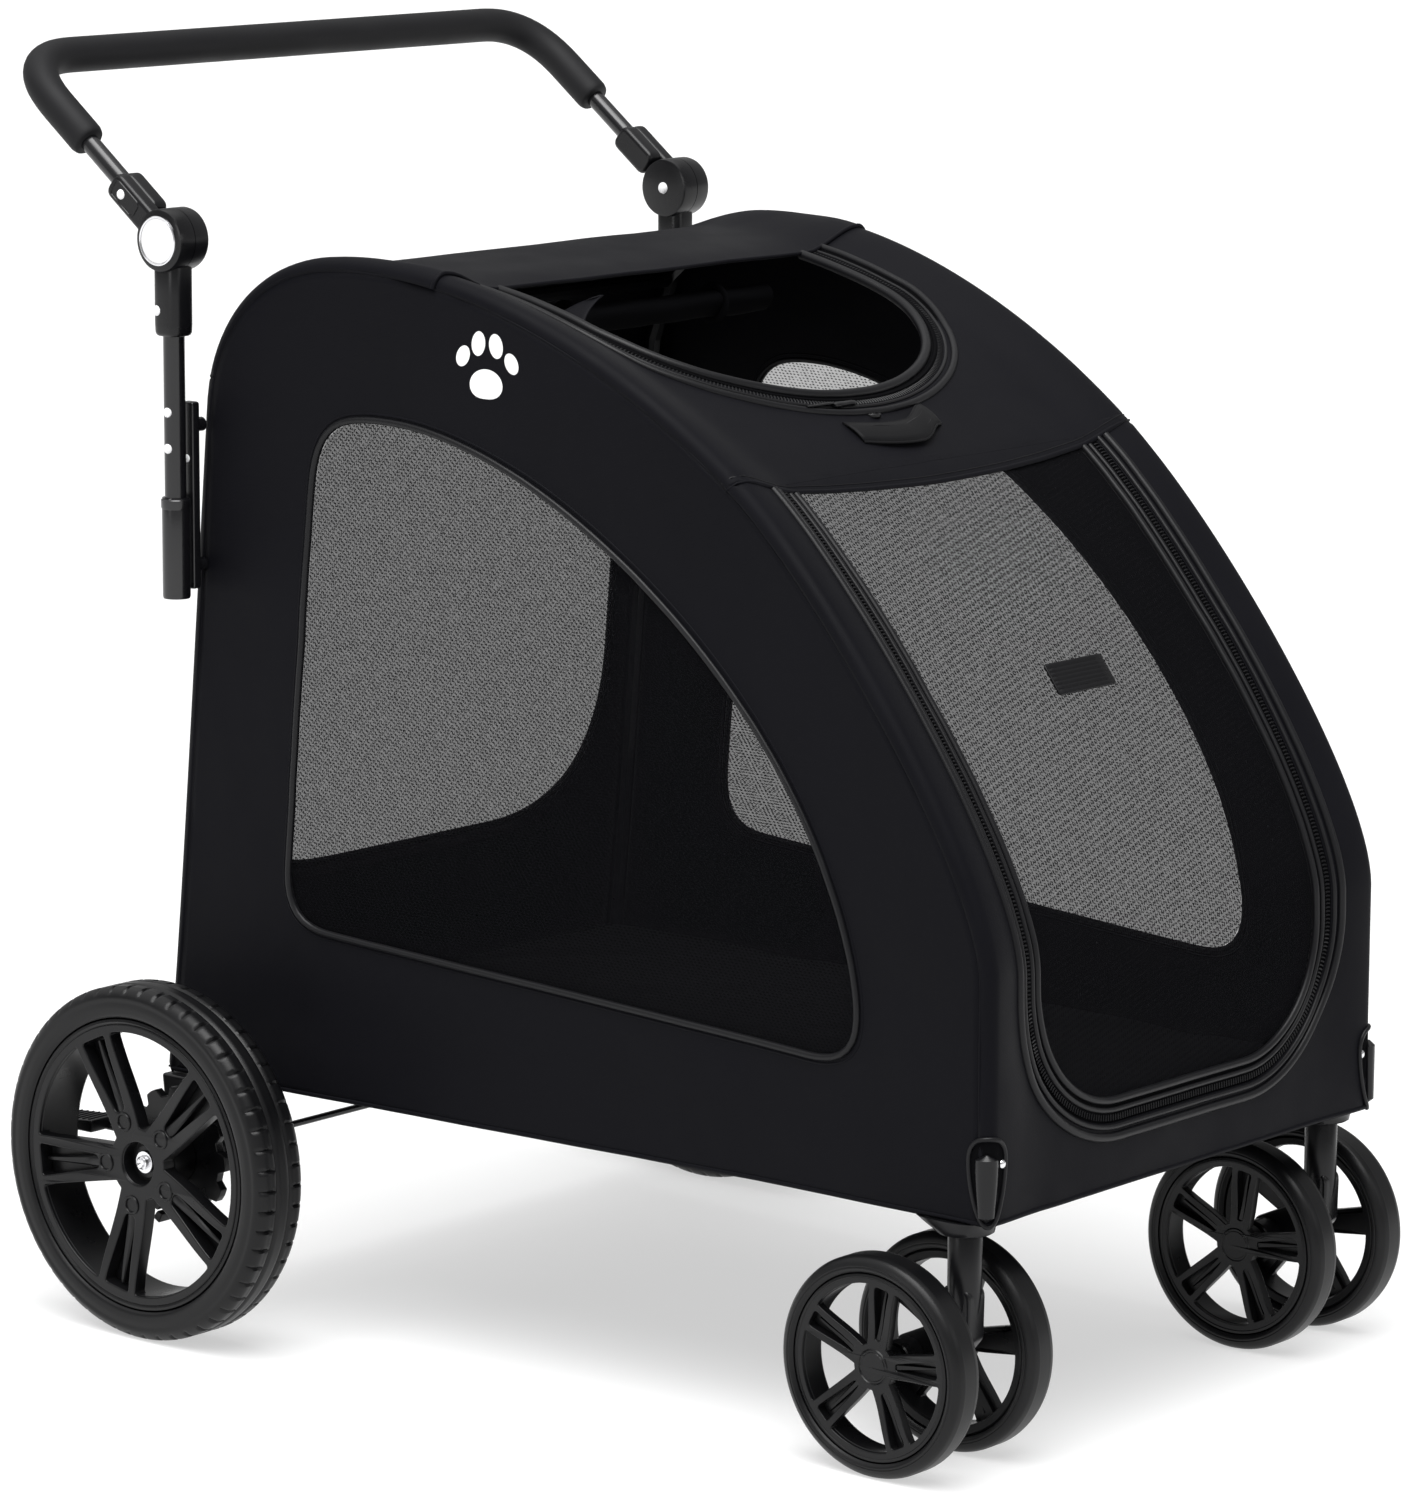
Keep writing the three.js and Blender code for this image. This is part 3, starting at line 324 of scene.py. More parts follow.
def merge(*parts):
    """Joins (verts, faces) pairs into one."""
    verts, faces = [], []
    for v, f in parts:
        base = len(verts)
        verts += [tuple(p) for p in v]
        faces += [tuple(i + base for i in face) for face in f]
    return verts, faces


def joined(name, parts, body, look, replaces=()):
    """One piece out of several (verts, faces) pairs."""
    verts, faces = merge(*parts)
    return piece(name, verts, faces, body, look, replaces)


def lathe(profile, segments, centre, axis="y", flip=1):
    """A turned ring or knob from (radius, offset) points along the axis; a zero radius closes it."""
    verts, faces, rings = [], [], []
    for r, off in profile:
        if r < 1e-6:
            rings.append([len(verts)] * segments)
            turn = [(0.0, 0.0)]
        else:
            rings.append(list(range(len(verts), len(verts) + segments)))
            turn = [(r * math.cos(2 * math.pi * k / segments), r * math.sin(2 * math.pi * k / segments))
                    for k in range(segments)]
        for a, b in turn:
            if axis == "y":
                verts.append((centre[0] + a, centre[1] + flip * off, centre[2] + b))
            elif axis == "z":
                verts.append((centre[0] + a, centre[1] + b, centre[2] + off))
            else:
                verts.append((centre[0] + flip * off, centre[1] + a, centre[2] + b))
    for lower, upper in zip(rings, rings[1:]):
        for k in range(segments):
            face = [lower[k], lower[(k + 1) % segments], upper[(k + 1) % segments], upper[k]]
            face = [v for i, v in enumerate(face) if v != face[i - 1]]
            if len(set(face)) > 2:
                faces.append(tuple(dict.fromkeys(face)))
    return verts, faces


def rounded(points, radii, steps=6):
    """A closed outline with each corner rounded; radii is one value or one per corner."""
    if not hasattr(radii, "__len__"):
        radii = [radii] * len(points)
    result = []
    count = len(points)
    for i, (p, r) in enumerate(zip(points, radii)):
        p = np.array(p, float)
        before = np.array(points[i - 1], float) - p
        after = np.array(points[(i + 1) % count], float) - p
        lb, la = np.linalg.norm(before), np.linalg.norm(after)
        before, after = before / lb, after / la
        angle = math.acos(max(-1, min(1, before.dot(after))))
        if r <= 0 or angle > math.pi - 0.02:
            result.append(tuple(p))
            continue
        reach = min(r / math.tan(angle / 2), 0.48 * lb, 0.48 * la)
        a, b = p + before * reach, p + after * reach
        for k in range(steps + 1):
            t = k / steps
            result.append(tuple((1 - t) ** 2 * a + 2 * t * (1 - t) * p + t * t * b))
    return result


def subdivided(outline, step):
    result = []
    for i, p in enumerate(outline):
        q = outline[(i + 1) % len(outline)]
        n = max(1, int(math.dist(p, q) / step))
        result += [(p[0] + (q[0] - p[0]) * k / n, p[1] + (q[1] - p[1]) * k / n) for k in range(n)]
    return result


def plate(outlines, half_depth, bevel, bevel_steps=3):
    """A bevelled plate with holes, as (verts, faces); its thickness lies along the third axis."""
    curve = bpy.data.curves.new("plate", "CURVE")
    curve.dimensions = "2D"
    curve.fill_mode = "BOTH"
    curve.extrude = max(half_depth - bevel, 0.01)
    curve.bevel_depth = bevel
    curve.bevel_resolution = bevel_steps
    curve.offset = -bevel
    for outline in outlines:
        spline = curve.splines.new("POLY")
        spline.points.add(len(outline) - 1)
        for point, (a, b) in zip(spline.points, outline):
            point.co = (a, b, 0, 1)
        spline.use_cyclic_u = True
    holder = bpy.data.objects.new("plate", curve)
    bpy.context.scene.collection.objects.link(holder)
    mesh = bpy.data.meshes.new_from_object(holder.evaluated_get(bpy.context.evaluated_depsgraph_get()))
    verts = [tuple(v.co) for v in mesh.vertices]
    faces = [tuple(p.vertices) for p in mesh.polygons]
    bpy.data.objects.remove(holder)
    bpy.data.curves.remove(curve)
    bpy.data.meshes.remove(mesh)
    return verts, faces


def plate_xz(outlines, y_low, y_high, bevel, bevel_steps=3):
    """A plate whose outline lies in (x, z) and whose thickness runs from y_low to y_high."""
    middle, half = (y_low + y_high) / 2, abs(y_high - y_low) / 2
    verts, faces = plate(outlines, half, bevel, bevel_steps)
    return [(a, middle + c, b) for a, b, c in verts], [f[::-1] for f in faces]


def circle(cx, cy, r, count):
    return [(cx + r * math.cos(2 * math.pi * k / count), cy + r * math.sin(2 * math.pi * k / count))
            for k in range(count)]


def oblong(a, b, power, count):
    """Points round an oblong with half sizes a and b; power 2 is an ellipse and more is squarer."""
    points = []
    for k in range(count):
        t = 2 * math.pi * k / count
        c, s = math.cos(t), math.sin(t)
        points.append((a * math.copysign(abs(c) ** (2 / power), c),
                       b * math.copysign(abs(s) ** (2 / power), s)))
    return points


def rivet(name, centre, axis, radius, body, flip=1, look="white"):
    """A domed rivet or snap-button head standing off a surface; by default its plated head is flat white, a
    painted reflection.
    """
    profile = [(0, radius * 0.55), (radius * 0.45, radius * 0.5), (radius * 0.8, radius * 0.33),
               (radius * 0.97, radius * 0.1), (radius, -0.3), (radius, -1.5)]
    return joined(name, [lathe(profile, 20, centre, axis, flip)], body, look)


def smoothstep(value, low, high):
    t = min(max((value - low) / (high - low), 0.0), 1.0)
    return t * t * (3 - 2 * t)


# ---------------------------------------------------------------- cabin surface
def bezier(a, b, c, d, count=60):
    t = np.linspace(0, 1, count)[:, None]
    a, b, c, d = (np.array(p, float) for p in (a, b, c, d))
    return (1 - t) ** 3 * a + 3 * t * (1 - t) ** 2 * b + 3 * t * t * (1 - t) * c + t ** 3 * d


class Profile:
    """The side outline of the cabin, from the foot of the back wall over the top to the foot of the front."""

    def __init__(self):
        runs = [bezier((REAR_X, BOTTOM_Z), (-48, 300), (-28, 560), (-10, 780)),
                bezier((-10, 780), (-3, 850), (50, 902), (130, 906)),
                bezier((130, 906), (280, 915), (440, 836), (540, 757)),
                bezier((540, 757), (630, 686), (FRONT_X - 3, 480), (FRONT_X, 395)),
                bezier((FRONT_X, 395), (FRONT_X, 330), (FRONT_X, 270), (FRONT_X, BOTTOM_Z))]
        points = np.vstack([runs[0]] + [run[1:] for run in runs[1:]])
        self.s = np.concatenate([[0], np.cumsum(np.linalg.norm(np.diff(points, axis=0), axis=1))])
        self.x, self.z = points.T
        tangent = np.gradient(points, self.s, axis=0)
        kernel = np.ones(5) / 5
        for i in (0, 1):
            tangent[2:-2, i] = np.convolve(tangent[:, i], kernel, "valid")
        self.t = tangent / np.linalg.norm(tangent, axis=1)[:, None]
        self.marks = [self.s[min(59 * k, len(self.s) - 1)] for k in range(6)]

    def point(self, s):
        return np.interp(s, self.s, self.x), np.interp(s, self.s, self.z)

    def inward(self, s):
        tx, tz = np.interp(s, self.s, self.t[:, 0]), np.interp(s, self.s, self.t[:, 1])
        size = math.hypot(tx, tz)
        return tz / size, -tx / size

    def s_at(self, x=None, z=None, low=0, high=1e9):
        """The distance at which the profile passes a given x or z, looked for between low and high."""
        mask = (self.s >= low) & (self.s <= high)
        values = (self.x if x is not None else self.z)[mask]
        index = np.argmin(np.abs(values - (x if x is not None else z)))
        return float(self.s[mask][index])


PROFILE = Profile()
REAR_TOP, TOP_START, TOP_END, FRONT_END, FOOT_END = PROFILE.marks[1:]
HATCH_SEAM = PROFILE.s_at(x=234, low=TOP_START, high=TOP_END)
DOOR_SEAM = TOP_END - 2
SAG = [(0, 0), (REAR_TOP + 70, 0), (TOP_START + 60, 15), (HATCH_SEAM, 19), (TOP_END - 60, 15), (TOP_END, 12),
       (FRONT_END, 11), (FOOT_END - 80, 8), (FOOT_END, 2)]


WAVINESS = 0.9  # of the cloth over the top, front and back


def half_width(x):
    """Half the cabin's width, which tapers from the rear to TAPER_X."""
    along = min(max((TAPER_X - x) / (TAPER_X - REAR_X), 0), 1)
    return FRONT_HALF + (REAR_HALF - FRONT_HALF) * along


def crease(s, q, size):
    """Small irregular waviness of stretched cloth."""
    return size * noise.noise(Vector((s * 0.011, q * 0.013, 3.7))) + 0.35 * size * noise.noise(
        Vector((s * 0.04, q * 0.035, 9.1)))


def wrap_edge(s):
    """Half the developed width of the wrapped cloth at s, out to the seam on the side face."""
    return half_width(PROFILE.point(s)[0]) - FOLD + FOLD * math.pi / 2


def wrap(s, q, lift=0.0):
    """A point of the cloth round the cabin: s along the profile, q across it, lift off its outer face."""
    px, pz = PROFILE.point(s)
    nx, nz = PROFILE.inward(s)
    half = half_width(px)
    flat = half - FOLD
    side = 1 if q >= 0 else -1
    over = (abs(q) - flat) / FOLD
    sag = np.interp(s, [k for k, _ in SAG], [v for _, v in SAG])
    if over <= 0:
        ridge = smoothstep(abs(q), half - RIDGE, flat)
        depth = sag * (1 - ridge) - lift + crease(s, q, WAVINESS) * (1 - ridge)
        y = q
    else:
        angle = min(over, math.pi / 2)
        depth = FOLD * (1 - math.cos(angle)) - lift * math.cos(angle)
        y = side * (flat + FOLD * math.sin(angle) + lift * math.sin(angle))
    return px + nx * depth, y, pz + nz * depth


def net_surface(s, q):
    """The netting lies just inside the cloth."""
    return wrap(s, q, -0.6)


def side_point(side, x, z, lift=0.0):
    """A point on a side face of the cabin, with a slight fullness between its seams."""
    fullness = crease(x, z, 1.1) - 0.3
    return x, side * (half_width(x) + fullness + lift), z


def side_outline():
    """The seam of a side panel in (x, z): the profile moved inwards by the fold, closed along the bottom."""
    points = []
    for s in np.linspace(0, FOOT_END, 150):
        px, pz = PROFILE.point(s)
        nx, nz = PROFILE.inward(s)
        points.append((px + nx * FOLD, pz + nz * FOLD))
    points[0] = (points[0][0], BOTTOM_Z)
    points[-1] = (points[-1][0], BOTTOM_Z)
    return points


def side_window(margin=0.0):
    """The netting window of a side panel, in (x, z)."""
    m = margin
    pieces = [
        bezier((82 - m, 400), (95 - m, 560), (103 - m, 640), (110 - m, 715), 14),
        bezier((110 - m, 715), (115 - m, 770 + m), (140, 775 + m), (180, 775 + m), 14),
        bezier((180, 775 + m), (355 + m, 775 + m), (618 + m, 575 + m), (658 + m, 380), 36),
        bezier((658 + m, 380), (668 + m, 335 - m), (655 + m, 315 - m), (617, 317 - m), 12),
        bezier((617, 317 - m), (460, 327 - m), (300, 337 - m), (125, 348 - m), 20),
        bezier((125, 348 - m), (88 - m, 350 - m), (80 - m, 370), (82 - m, 400), 12),
    ]
    return [tuple(p) for run in pieces for p in run[:-1]]


def resampled(outline, count):
    """The outline again with evenly spaced points, starting from the same one."""
    points = np.array(list(outline) + [outline[0]], float)
    lengths = np.concatenate([[0], np.cumsum(np.linalg.norm(np.diff(points, axis=0), axis=1))])
    at_lengths = np.linspace(0, lengths[-1], count, endpoint=False)
    return [(float(np.interp(s, lengths, points[:, 0])), float(np.interp(s, lengths, points[:, 1])))
            for s in at_lengths]


def star_ring(inner, outer, centre, angles=200):
    """Pairs of points on two outlines seen from the centre in the same directions, corners of both kept."""

    def polar(outline):
        return sorted((math.atan2(b - centre[1], a - centre[0]), math.hypot(a - centre[0], b - centre[1]))
                      for a, b in outline)

    def reach(outline, angle):
        a, r = outline
        return float(np.interp(angle, a, r))

    def table(outline):
        rows = polar(outline)
        first, last = rows[0], rows[-1]
        rows = [(last[0] - 2 * math.pi, last[1])] + rows + [(first[0] + 2 * math.pi, first[1])]
        return np.array([r[0] for r in rows]), np.array([r[1] for r in rows])

    corners = [math.atan2(b - centre[1], a - centre[0]) for a, b in corners_of(outer) + corners_of(inner)]
    grid = sorted(set(np.linspace(-math.pi, math.pi, angles, endpoint=False).tolist() + corners))
    inner_table, outer_table = table(inner), table(outer)
    rows = []
    for angle in grid:
        direction = np.array([math.cos(angle), math.sin(angle)])
        rows.append((np.array(centre) + direction * reach(inner_table, angle),
                     np.array(centre) + direction * reach(outer_table, angle)))
    return rows


def corners_of(outline):
    """The points where an outline turns sharply."""
    result = []
    count = len(outline)
    for i, p in enumerate(outline):
        a = np.array(p) - np.array(outline[i - 1])
        b = np.array(outline[(i + 1) % count]) - np.array(p)
        size = np.linalg.norm(a) * np.linalg.norm(b)
        if size > 1e-9 and abs(a[0] * b[1] - a[1] * b[0]) / size > 0.5:
            result.append(p)
    return result


def ring_sheet(name, inner, outer, centre, surface, body, look, replaces, shares, angles=200):
    """A cloth panel with a hole: rings of points from the hole to the panel's edge, put on a surface."""
    rows = star_ring(subdivided(inner, 6), subdivided(outer, 6), centre, angles)
    verts, uvs = [], []
    for share in shares:
        for a, b in rows:
            p = a + (b - a) * share
            verts.append(surface(*p))
            uvs.append(tuple(p))
    faces = grid_faces(len(shares), len(rows), closed_columns=True)
    return piece(name, verts, faces, body, look, replaces, uvs, sharp=60)


def disc_sheet(name, outline, centre, surface, body, look, replaces=(), rings=14):
    """A cloth panel without a hole, in rings around its centre."""
    verts, uvs = [surface(*centre)], [tuple(centre)]
    for k in range(1, rings + 1):
        share = k / rings
        for a, b in outline:
            p = (centre[0] + (a - centre[0]) * share, centre[1] + (b - centre[1]) * share)
            verts.append(surface(*p))
            uvs.append(p)
    count = len(outline)
    faces = [(0, 1 + k, 1 + (k + 1) % count) for k in range(count)]
    for ring in range(rings - 1):
        base = 1 + ring * count
        for k in range(count):
            n = (k + 1) % count
            faces.append((base + k, base + count + k, base + count + n, base + n))
    return piece(name, verts, faces, body, look, replaces, uvs, sharp=60)


def grid_sheet(name, rows, columns, surface, body, look):
    """A cloth panel over rows and columns of (s, q) values, where columns may depend on the row."""
    verts, uvs = [], []
    for s in rows:
        for q in columns(s):
            verts.append(surface(s, q))
            uvs.append((s, q))
    faces = grid_faces(len(rows), len(columns(rows[0])))
    return piece(name, verts, faces, body, look, uvs=uvs, sharp=60)


def thicken(made, thickness):
    """Gives a cloth panel its real thickness, half of it to each side."""
    solid = made.modifiers.new("thickness", "SOLIDIFY")
    solid.thickness = thickness * MM
    solid.offset = 0
    return made


EDGE_SHARES = np.concatenate([np.linspace(0, 0.7, 10), np.linspace(0.74, 1, 12)])


# ---------------------------------------------------------------- cabin cloth
def polygon_area(outline):
    x, y = np.array(outline, float).T
    return abs(float(np.dot(x, np.roll(y, -1)) - np.dot(y, np.roll(x, -1)))) / 2


def declare(outline, hole=()):
    """Works out the box of a cloth panel's flat cut and its real area, and keeps neither."""
    width, length = (np.ptp(np.array(outline, float)[:, i]) * MM for i in (0, 1))
    area = (polygon_area(outline) - (polygon_area(hole) if len(hole) else 0)) * MM * MM


def side_panels():
    window, outline = side_window(), side_outline()
    centre = (345, 540)
    for name, side in SIDES:
        panel = ring_sheet(f"side_cloth_{name}", window, outline, centre,
                           lambda x, z, side=side: side_point(side, x, z), "frame", "fabric",
                           [f"side_panel_{name}"], shares=np.linspace(0, 1, 20), angles=260)
        thicken(panel, 1.4)
        declare(outline, window)
        net = disc_sheet(f"side_net_{name}", resampled(window, 120), centre,
                         lambda x, z, side=side: side_point(side, x, z, -0.8), "frame", "net",
                         [f"side_window_{name}"])
        declare(window)
        cord = [side_point(side, x, z, 1.2) for x, z in resampled(side_window(2.5), 200)]
        tube(f"window_piping_{name}", cord, 2.9, "frame", "piping", closed=True, sides=10)
        fold = [side_point(side, x, z, 0.1) for x, z in resampled(side_window(7.5), 200)]
        tube(f"window_fold_{name}", fold, 1.3, "frame", "fabric", closed=True, sides=8)
        seam = [side_point(side, x, z, 0.0) for x, z in outline]
        tube(f"side_seam_{name}", seam, 1.1, "frame", "fabric", sides=8)
        hem = [side_point(side, x, BOTTOM_Z + 2, 0.0) for x in np.linspace(REAR_X + FOLD, FRONT_X - FOLD, 60)]
        tube(f"side_hem_{name}", hem, 2.0, "frame", "fabric", sides=8)


def back_window(margin=0.0):
    """The netting window of the back wall, in (s, q)."""
    half = 252 + margin
    top = PROFILE.s_at(z=768 + margin, high=REAR_TOP + 60)
    bottom = PROFILE.s_at(z=358 - margin, high=REAR_TOP)
    box = [(bottom, -half), (bottom, half), (top, half), (top, -half)]
    return rounded(box, [150, 150, 45, 45], steps=14)


def across(s, count=13, edge=7):
    """Values of q across the wrap, close together over the folds."""
    flat = half_width(PROFILE.point(s)[0]) - FOLD
    middle = np.concatenate([np.linspace(-flat, -flat + RIDGE, 9)[:-1],
                             np.linspace(-flat + RIDGE, flat - RIDGE, count),
                             np.linspace(flat - RIDGE, flat, 9)[1:]])
    bend = np.linspace(0, wrap_edge(s) - flat, edge)[1:]
    return np.concatenate([-flat - bend[::-1], middle, flat + bend])


def back_panels():
    """The back wall with its netting window, and the cloth from there over the top to the hatch."""
    split = PROFILE.s_at(z=800, high=TOP_START)
    window = back_window()
    top_row = [(split, q) for q in np.linspace(wrap_edge(split), -wrap_edge(split), 40)]
    right = [(s, -wrap_edge(s)) for s in np.linspace(split, 0, 60)[1:]]
    bottom_row = [(0, q) for q in np.linspace(-wrap_edge(0), wrap_edge(0), 40)[1:]]
    left = [(s, wrap_edge(s)) for s in np.linspace(0, split, 60)[1:-1]]
    outline = top_row + right + bottom_row + left
    centre = (PROFILE.s_at(z=560, high=REAR_TOP), 0)
    panel = ring_sheet("back_cloth", window, outline, centre, wrap, "frame", "fabric", ["rear_panel"],
                       EDGE_SHARES)
    thicken(panel, 1.4)
    declare(outline, window)
    net = disc_sheet("back_net", resampled(window, 120), centre, net_surface, "frame", "net",
                     ["rear_window"])
    declare(window)
    cord = [wrap(s, q, 1.2) for s, q in resampled(back_window(2.5), 200)]
    tube("back_window_piping", cord, 2.9, "frame", "piping", closed=True, sides=10)
    hem = HATCH_SEAM + 3
    rows = list(np.linspace(split, hem - 8, 34)) + [hem - 4, hem - 1.5, hem]
    top = grid_sheet("rear_top_cloth", rows, across,
                     lambda s, q: wrap(s, q, 2.4 * smoothstep(s, hem - 70, hem - 14)), "frame", "fabric")
    thicken(top, 1.4)
    width = 2 * wrap_edge(split)
    for label, s, r in (("split_seam", split, 1.0), ("hatch_rear_hem", hem - 1, 1.9)):
        line = [wrap(s, q, 2.2 if r > 1 else 0.1) for q in across(s)]
        tube(label, line, r, "frame", "fabric", sides=8)


HATCH_MIDDLE = HATCH_SEAM + 92
HATCH_NOSE = 150  # how far the rounded end reaches forward of the middle
HATCH_HALF = 190


def hatch_outline(margin=0.0, closed=True):
    """The U of the open hatch in (s, q): straight sides from the rear seam, then half an ellipse forward."""
    a, b = HATCH_NOSE + margin, HATCH_HALF + margin
    rear = HATCH_SEAM - 8 if closed else HATCH_SEAM + 1
    bend = [(HATCH_MIDDLE + a * math.sin(t), -b * math.cos(t)) for t in np.linspace(0, math.pi, 60)]
    start = [(s, -b - 4 * (HATCH_MIDDLE - s) / 90) for s in np.linspace(rear, HATCH_MIDDLE, 12)[:-1]]
    end = [(s, -q) for s, q in start[::-1]]
    return start + bend + end


def door_bow(q):
    """The bowed seam over the door, as a distance s for each q."""
    return DOOR_SEAM + 24 * (1 - (q / 260) ** 2)


def hatch_panel():
    """The top cloth round the open hatch, down to the bowed hem over the door."""
    rear = HATCH_SEAM - 24
    edge = wrap_edge(rear)
    rear_row = [(rear, q) for q in np.linspace(edge, -edge, 40)]
    right = [(s, -wrap_edge(s)) for s in np.linspace(rear, DOOR_SEAM - 4, 40)[1:]]
    limit = wrap_edge(DOOR_SEAM)
    front_row = [(door_bow(q), q) for q in np.linspace(-limit, limit, 60)]
    left = [(s, wrap_edge(s)) for s in np.linspace(DOOR_SEAM - 4, rear, 40)[:-1]]
    outline = rear_row + right + front_row + left
    centre = (HATCH_MIDDLE + 10, 0)
    panel = ring_sheet("hatch_cloth", hatch_outline(12), outline, centre, wrap, "frame", "fabric",
                       ["hatch_panel"], EDGE_SHARES, angles=240)
    thicken(panel, 1.4)
    declare(outline, hatch_outline(12))
    lip = [wrap(s, q, 1.4) for s, q in front_row]
    radii = [0.8 + 1.4 * (1 - smoothstep(abs(q), limit - 45, limit - 14)) for _, q in front_row]
    tube("door_top_hem", lip, radii, "frame", "fabric", sides=8, flat=0.7)
    stitch = [wrap(s - 7, q, 0.6) for s, q in front_row]
    tube("door_top_stitch", stitch, 0.6, "frame", "piping", sides=6)


def ridges(prefix, outline_at, rows, body):
    """Cords that run side by side along an outline: (offset, radius, lift, look)."""
    for k, (offset, radius, lift, look) in enumerate(rows):
        path = [wrap(s, q, lift) for s, q in outline_at(offset)]
        tube(f"{prefix}_ridge_{k}", path, radius, body, look, sides=10)


def tape_strip(name, outline_at, low, high, lift, body):
    """A flat tape between two offsets of an outline."""
    a, b = outline_at(low), outline_at(high)
    verts = [wrap(s, q, lift) for s, q in a] + [wrap(s, q, lift) for s, q in b]
    uvs = list(a) + list(b)
    made = piece(name, verts, grid_faces(2, len(a)), body, "shade_and_tape", uvs=uvs, sharp=60)
    thicken(made, 0.8)
    length = sum(math.dist(p, q) for p, q in zip(verts, verts[1:len(a)]))
    return made


def zip_teeth(name, outline_at, offset, lift, body):
    """A zip's coil as a row of small links across the line."""
    pitch = 3.2
    path = np.array([wrap(s, q, lift) for s, q in outline_at(offset)])
    lengths = np.concatenate([[0], np.cumsum(np.linalg.norm(np.diff(path, axis=0), axis=1))])
    inner = np.array([wrap(s, q, lift) for s, q in outline_at(offset - 2.4)])
    outer = np.array([wrap(s, q, lift) for s, q in outline_at(offset + 2.4)])
    parts = []
    for d in np.arange(0, lengths[-1], pitch):
        ends = []
        for line in (inner, path, outer):
            ends.append(np.array([np.interp(d, lengths, line[:, i]) for i in range(3)]))
        middle = ends[1] + np.array([0, 0, 0.5])
        parts.append(sweep([ends[0], middle, ends[2]], 0.75, 5))
    verts, faces = merge(*parts)
    return piece(name, verts, faces, body, "piping")


def hatch_zip():
    line = lambda offset: hatch_outline(offset, closed=False)
    ridges("hatch", line, [(1.5, 4.4, 0.6, "piping"), (9.5, 1.5, 0.6, "shade_and_tape"), (19.5, 1.7, 0.7, "piping"),
                           (27.5, 3.4, 0.6, "piping")], "frame")
    tape_strip("hatch_tape", line, 3, 26, 0.2, "frame")
    zip_teeth("hatch_zip_coil", line, 14.5, 1.0, "frame")
    nose = HATCH_MIDDLE + HATCH_NOSE
    slider = [wrap(nose + 15, q, 3.2) for q in np.linspace(-52, -24, 8)]
    tube("hatch_zip_slider", slider, [3.2, 4.6, 4.9, 4.6, 4.2, 4.5, 4.4, 3.0], "frame", "plastic", flat=0.55)
    puller = [wrap(nose + 13, q, 4.2) for q in np.linspace(-84, -52, 8)]
    tube("hatch_zip_puller", puller, [1.4, 2.2, 2.4, 2.5, 2.6, 2.8, 3.0, 2.2], "frame", "plastic", flat=0.5)


DOOR_HALF = 204
DOOR_BOTTOM_Z = 259
DOOR_CORNER = 118


def door_outline(margin=0.0, top=4):
    """The U of the netting door in (s, q), open at its top, which starts this far below the seam."""
    half = DOOR_HALF + margin
    bottom = PROFILE.s_at(z=DOOR_BOTTOM_Z, low=FRONT_END) + margin
    r = DOOR_CORNER + margin
    run = [(s, -half) for s in np.linspace(DOOR_SEAM + top, bottom - r, 60)[:-1]]
    quarter = np.linspace(0, math.pi / 2, 24)
    corner = [(bottom - r + r * math.sin(t), -half + r - r * math.cos(t)) for t in quarter]
    base = [(bottom, q) for q in np.linspace(-half + r, half - r, 20)[1:-1]]
    mirrored = [(s, -q) for s, q in (run + corner)[::-1]]
    return run + corner + base + mirrored


def front_panel():
    """The front cloth round the door, the cords and tape of the door's zip on it, and its lower hem."""
    top = DOOR_SEAM - 6
    limit = wrap_edge(top)
    top_row = [(top, q) for q in np.linspace(limit, -limit, 60)]
    right = [(s, -wrap_edge(s)) for s in np.linspace(top, FOOT_END, 90)[1:]]
    bottom_row = [(FOOT_END, q) for q in np.linspace(-wrap_edge(FOOT_END), wrap_edge(FOOT_END), 50)[1:]]
    left = [(s, wrap_edge(s)) for s in np.linspace(FOOT_END, top, 90)[1:-1]]
    outline = top_row + right + bottom_row + left
    hole = door_outline(4, top=2)
    centre = ((DOOR_SEAM + FOOT_END) / 2, 0)
    panel = ring_sheet("front_cloth", hole, outline, centre, wrap, "frame", "fabric", ["front_panel"],
                       EDGE_SHARES, angles=320)
    thicken(panel, 1.4)
    declare(outline, hole)
    line = lambda offset: door_outline(offset, top=9)
    ridges("door_frame", line, [(7.0, 2.4, 0.8, "piping"), (15.0, 3.7, 0.7, "piping")], "frame")
    tape_strip("door_frame_tape", lambda offset: door_outline(offset, top=40), -6, 14, -1.6, "frame")
    hem = [wrap(FOOT_END - 2, q, 0.0) for q in across(FOOT_END - 2)]
    tube("front_hem", hem, 2.0, "frame", "fabric", sides=8)


def door():
    outline = door_outline(-1)
    centre = ((DOOR_SEAM + FOOT_END) / 2 - 20, 0)
    net = disc_sheet("door_net", resampled(outline, 200), centre, net_surface, "door", "door_net",
                     ["front_door"], rings=20)
    declare(outline)
    line = lambda offset: door_outline(offset, top=13)
    ridges("door", line, [(-14.0, 3.2, 0.6, "piping"), (-6.5, 2.3, 0.8, "piping")], "door")
    tape_strip("door_tape", line, -14, 0, 0.2, "door")
    zip_teeth("door_zip_coil", line, -0.5, 1.1, "door")


TAB_START = -60
TAB_LENGTH = 110


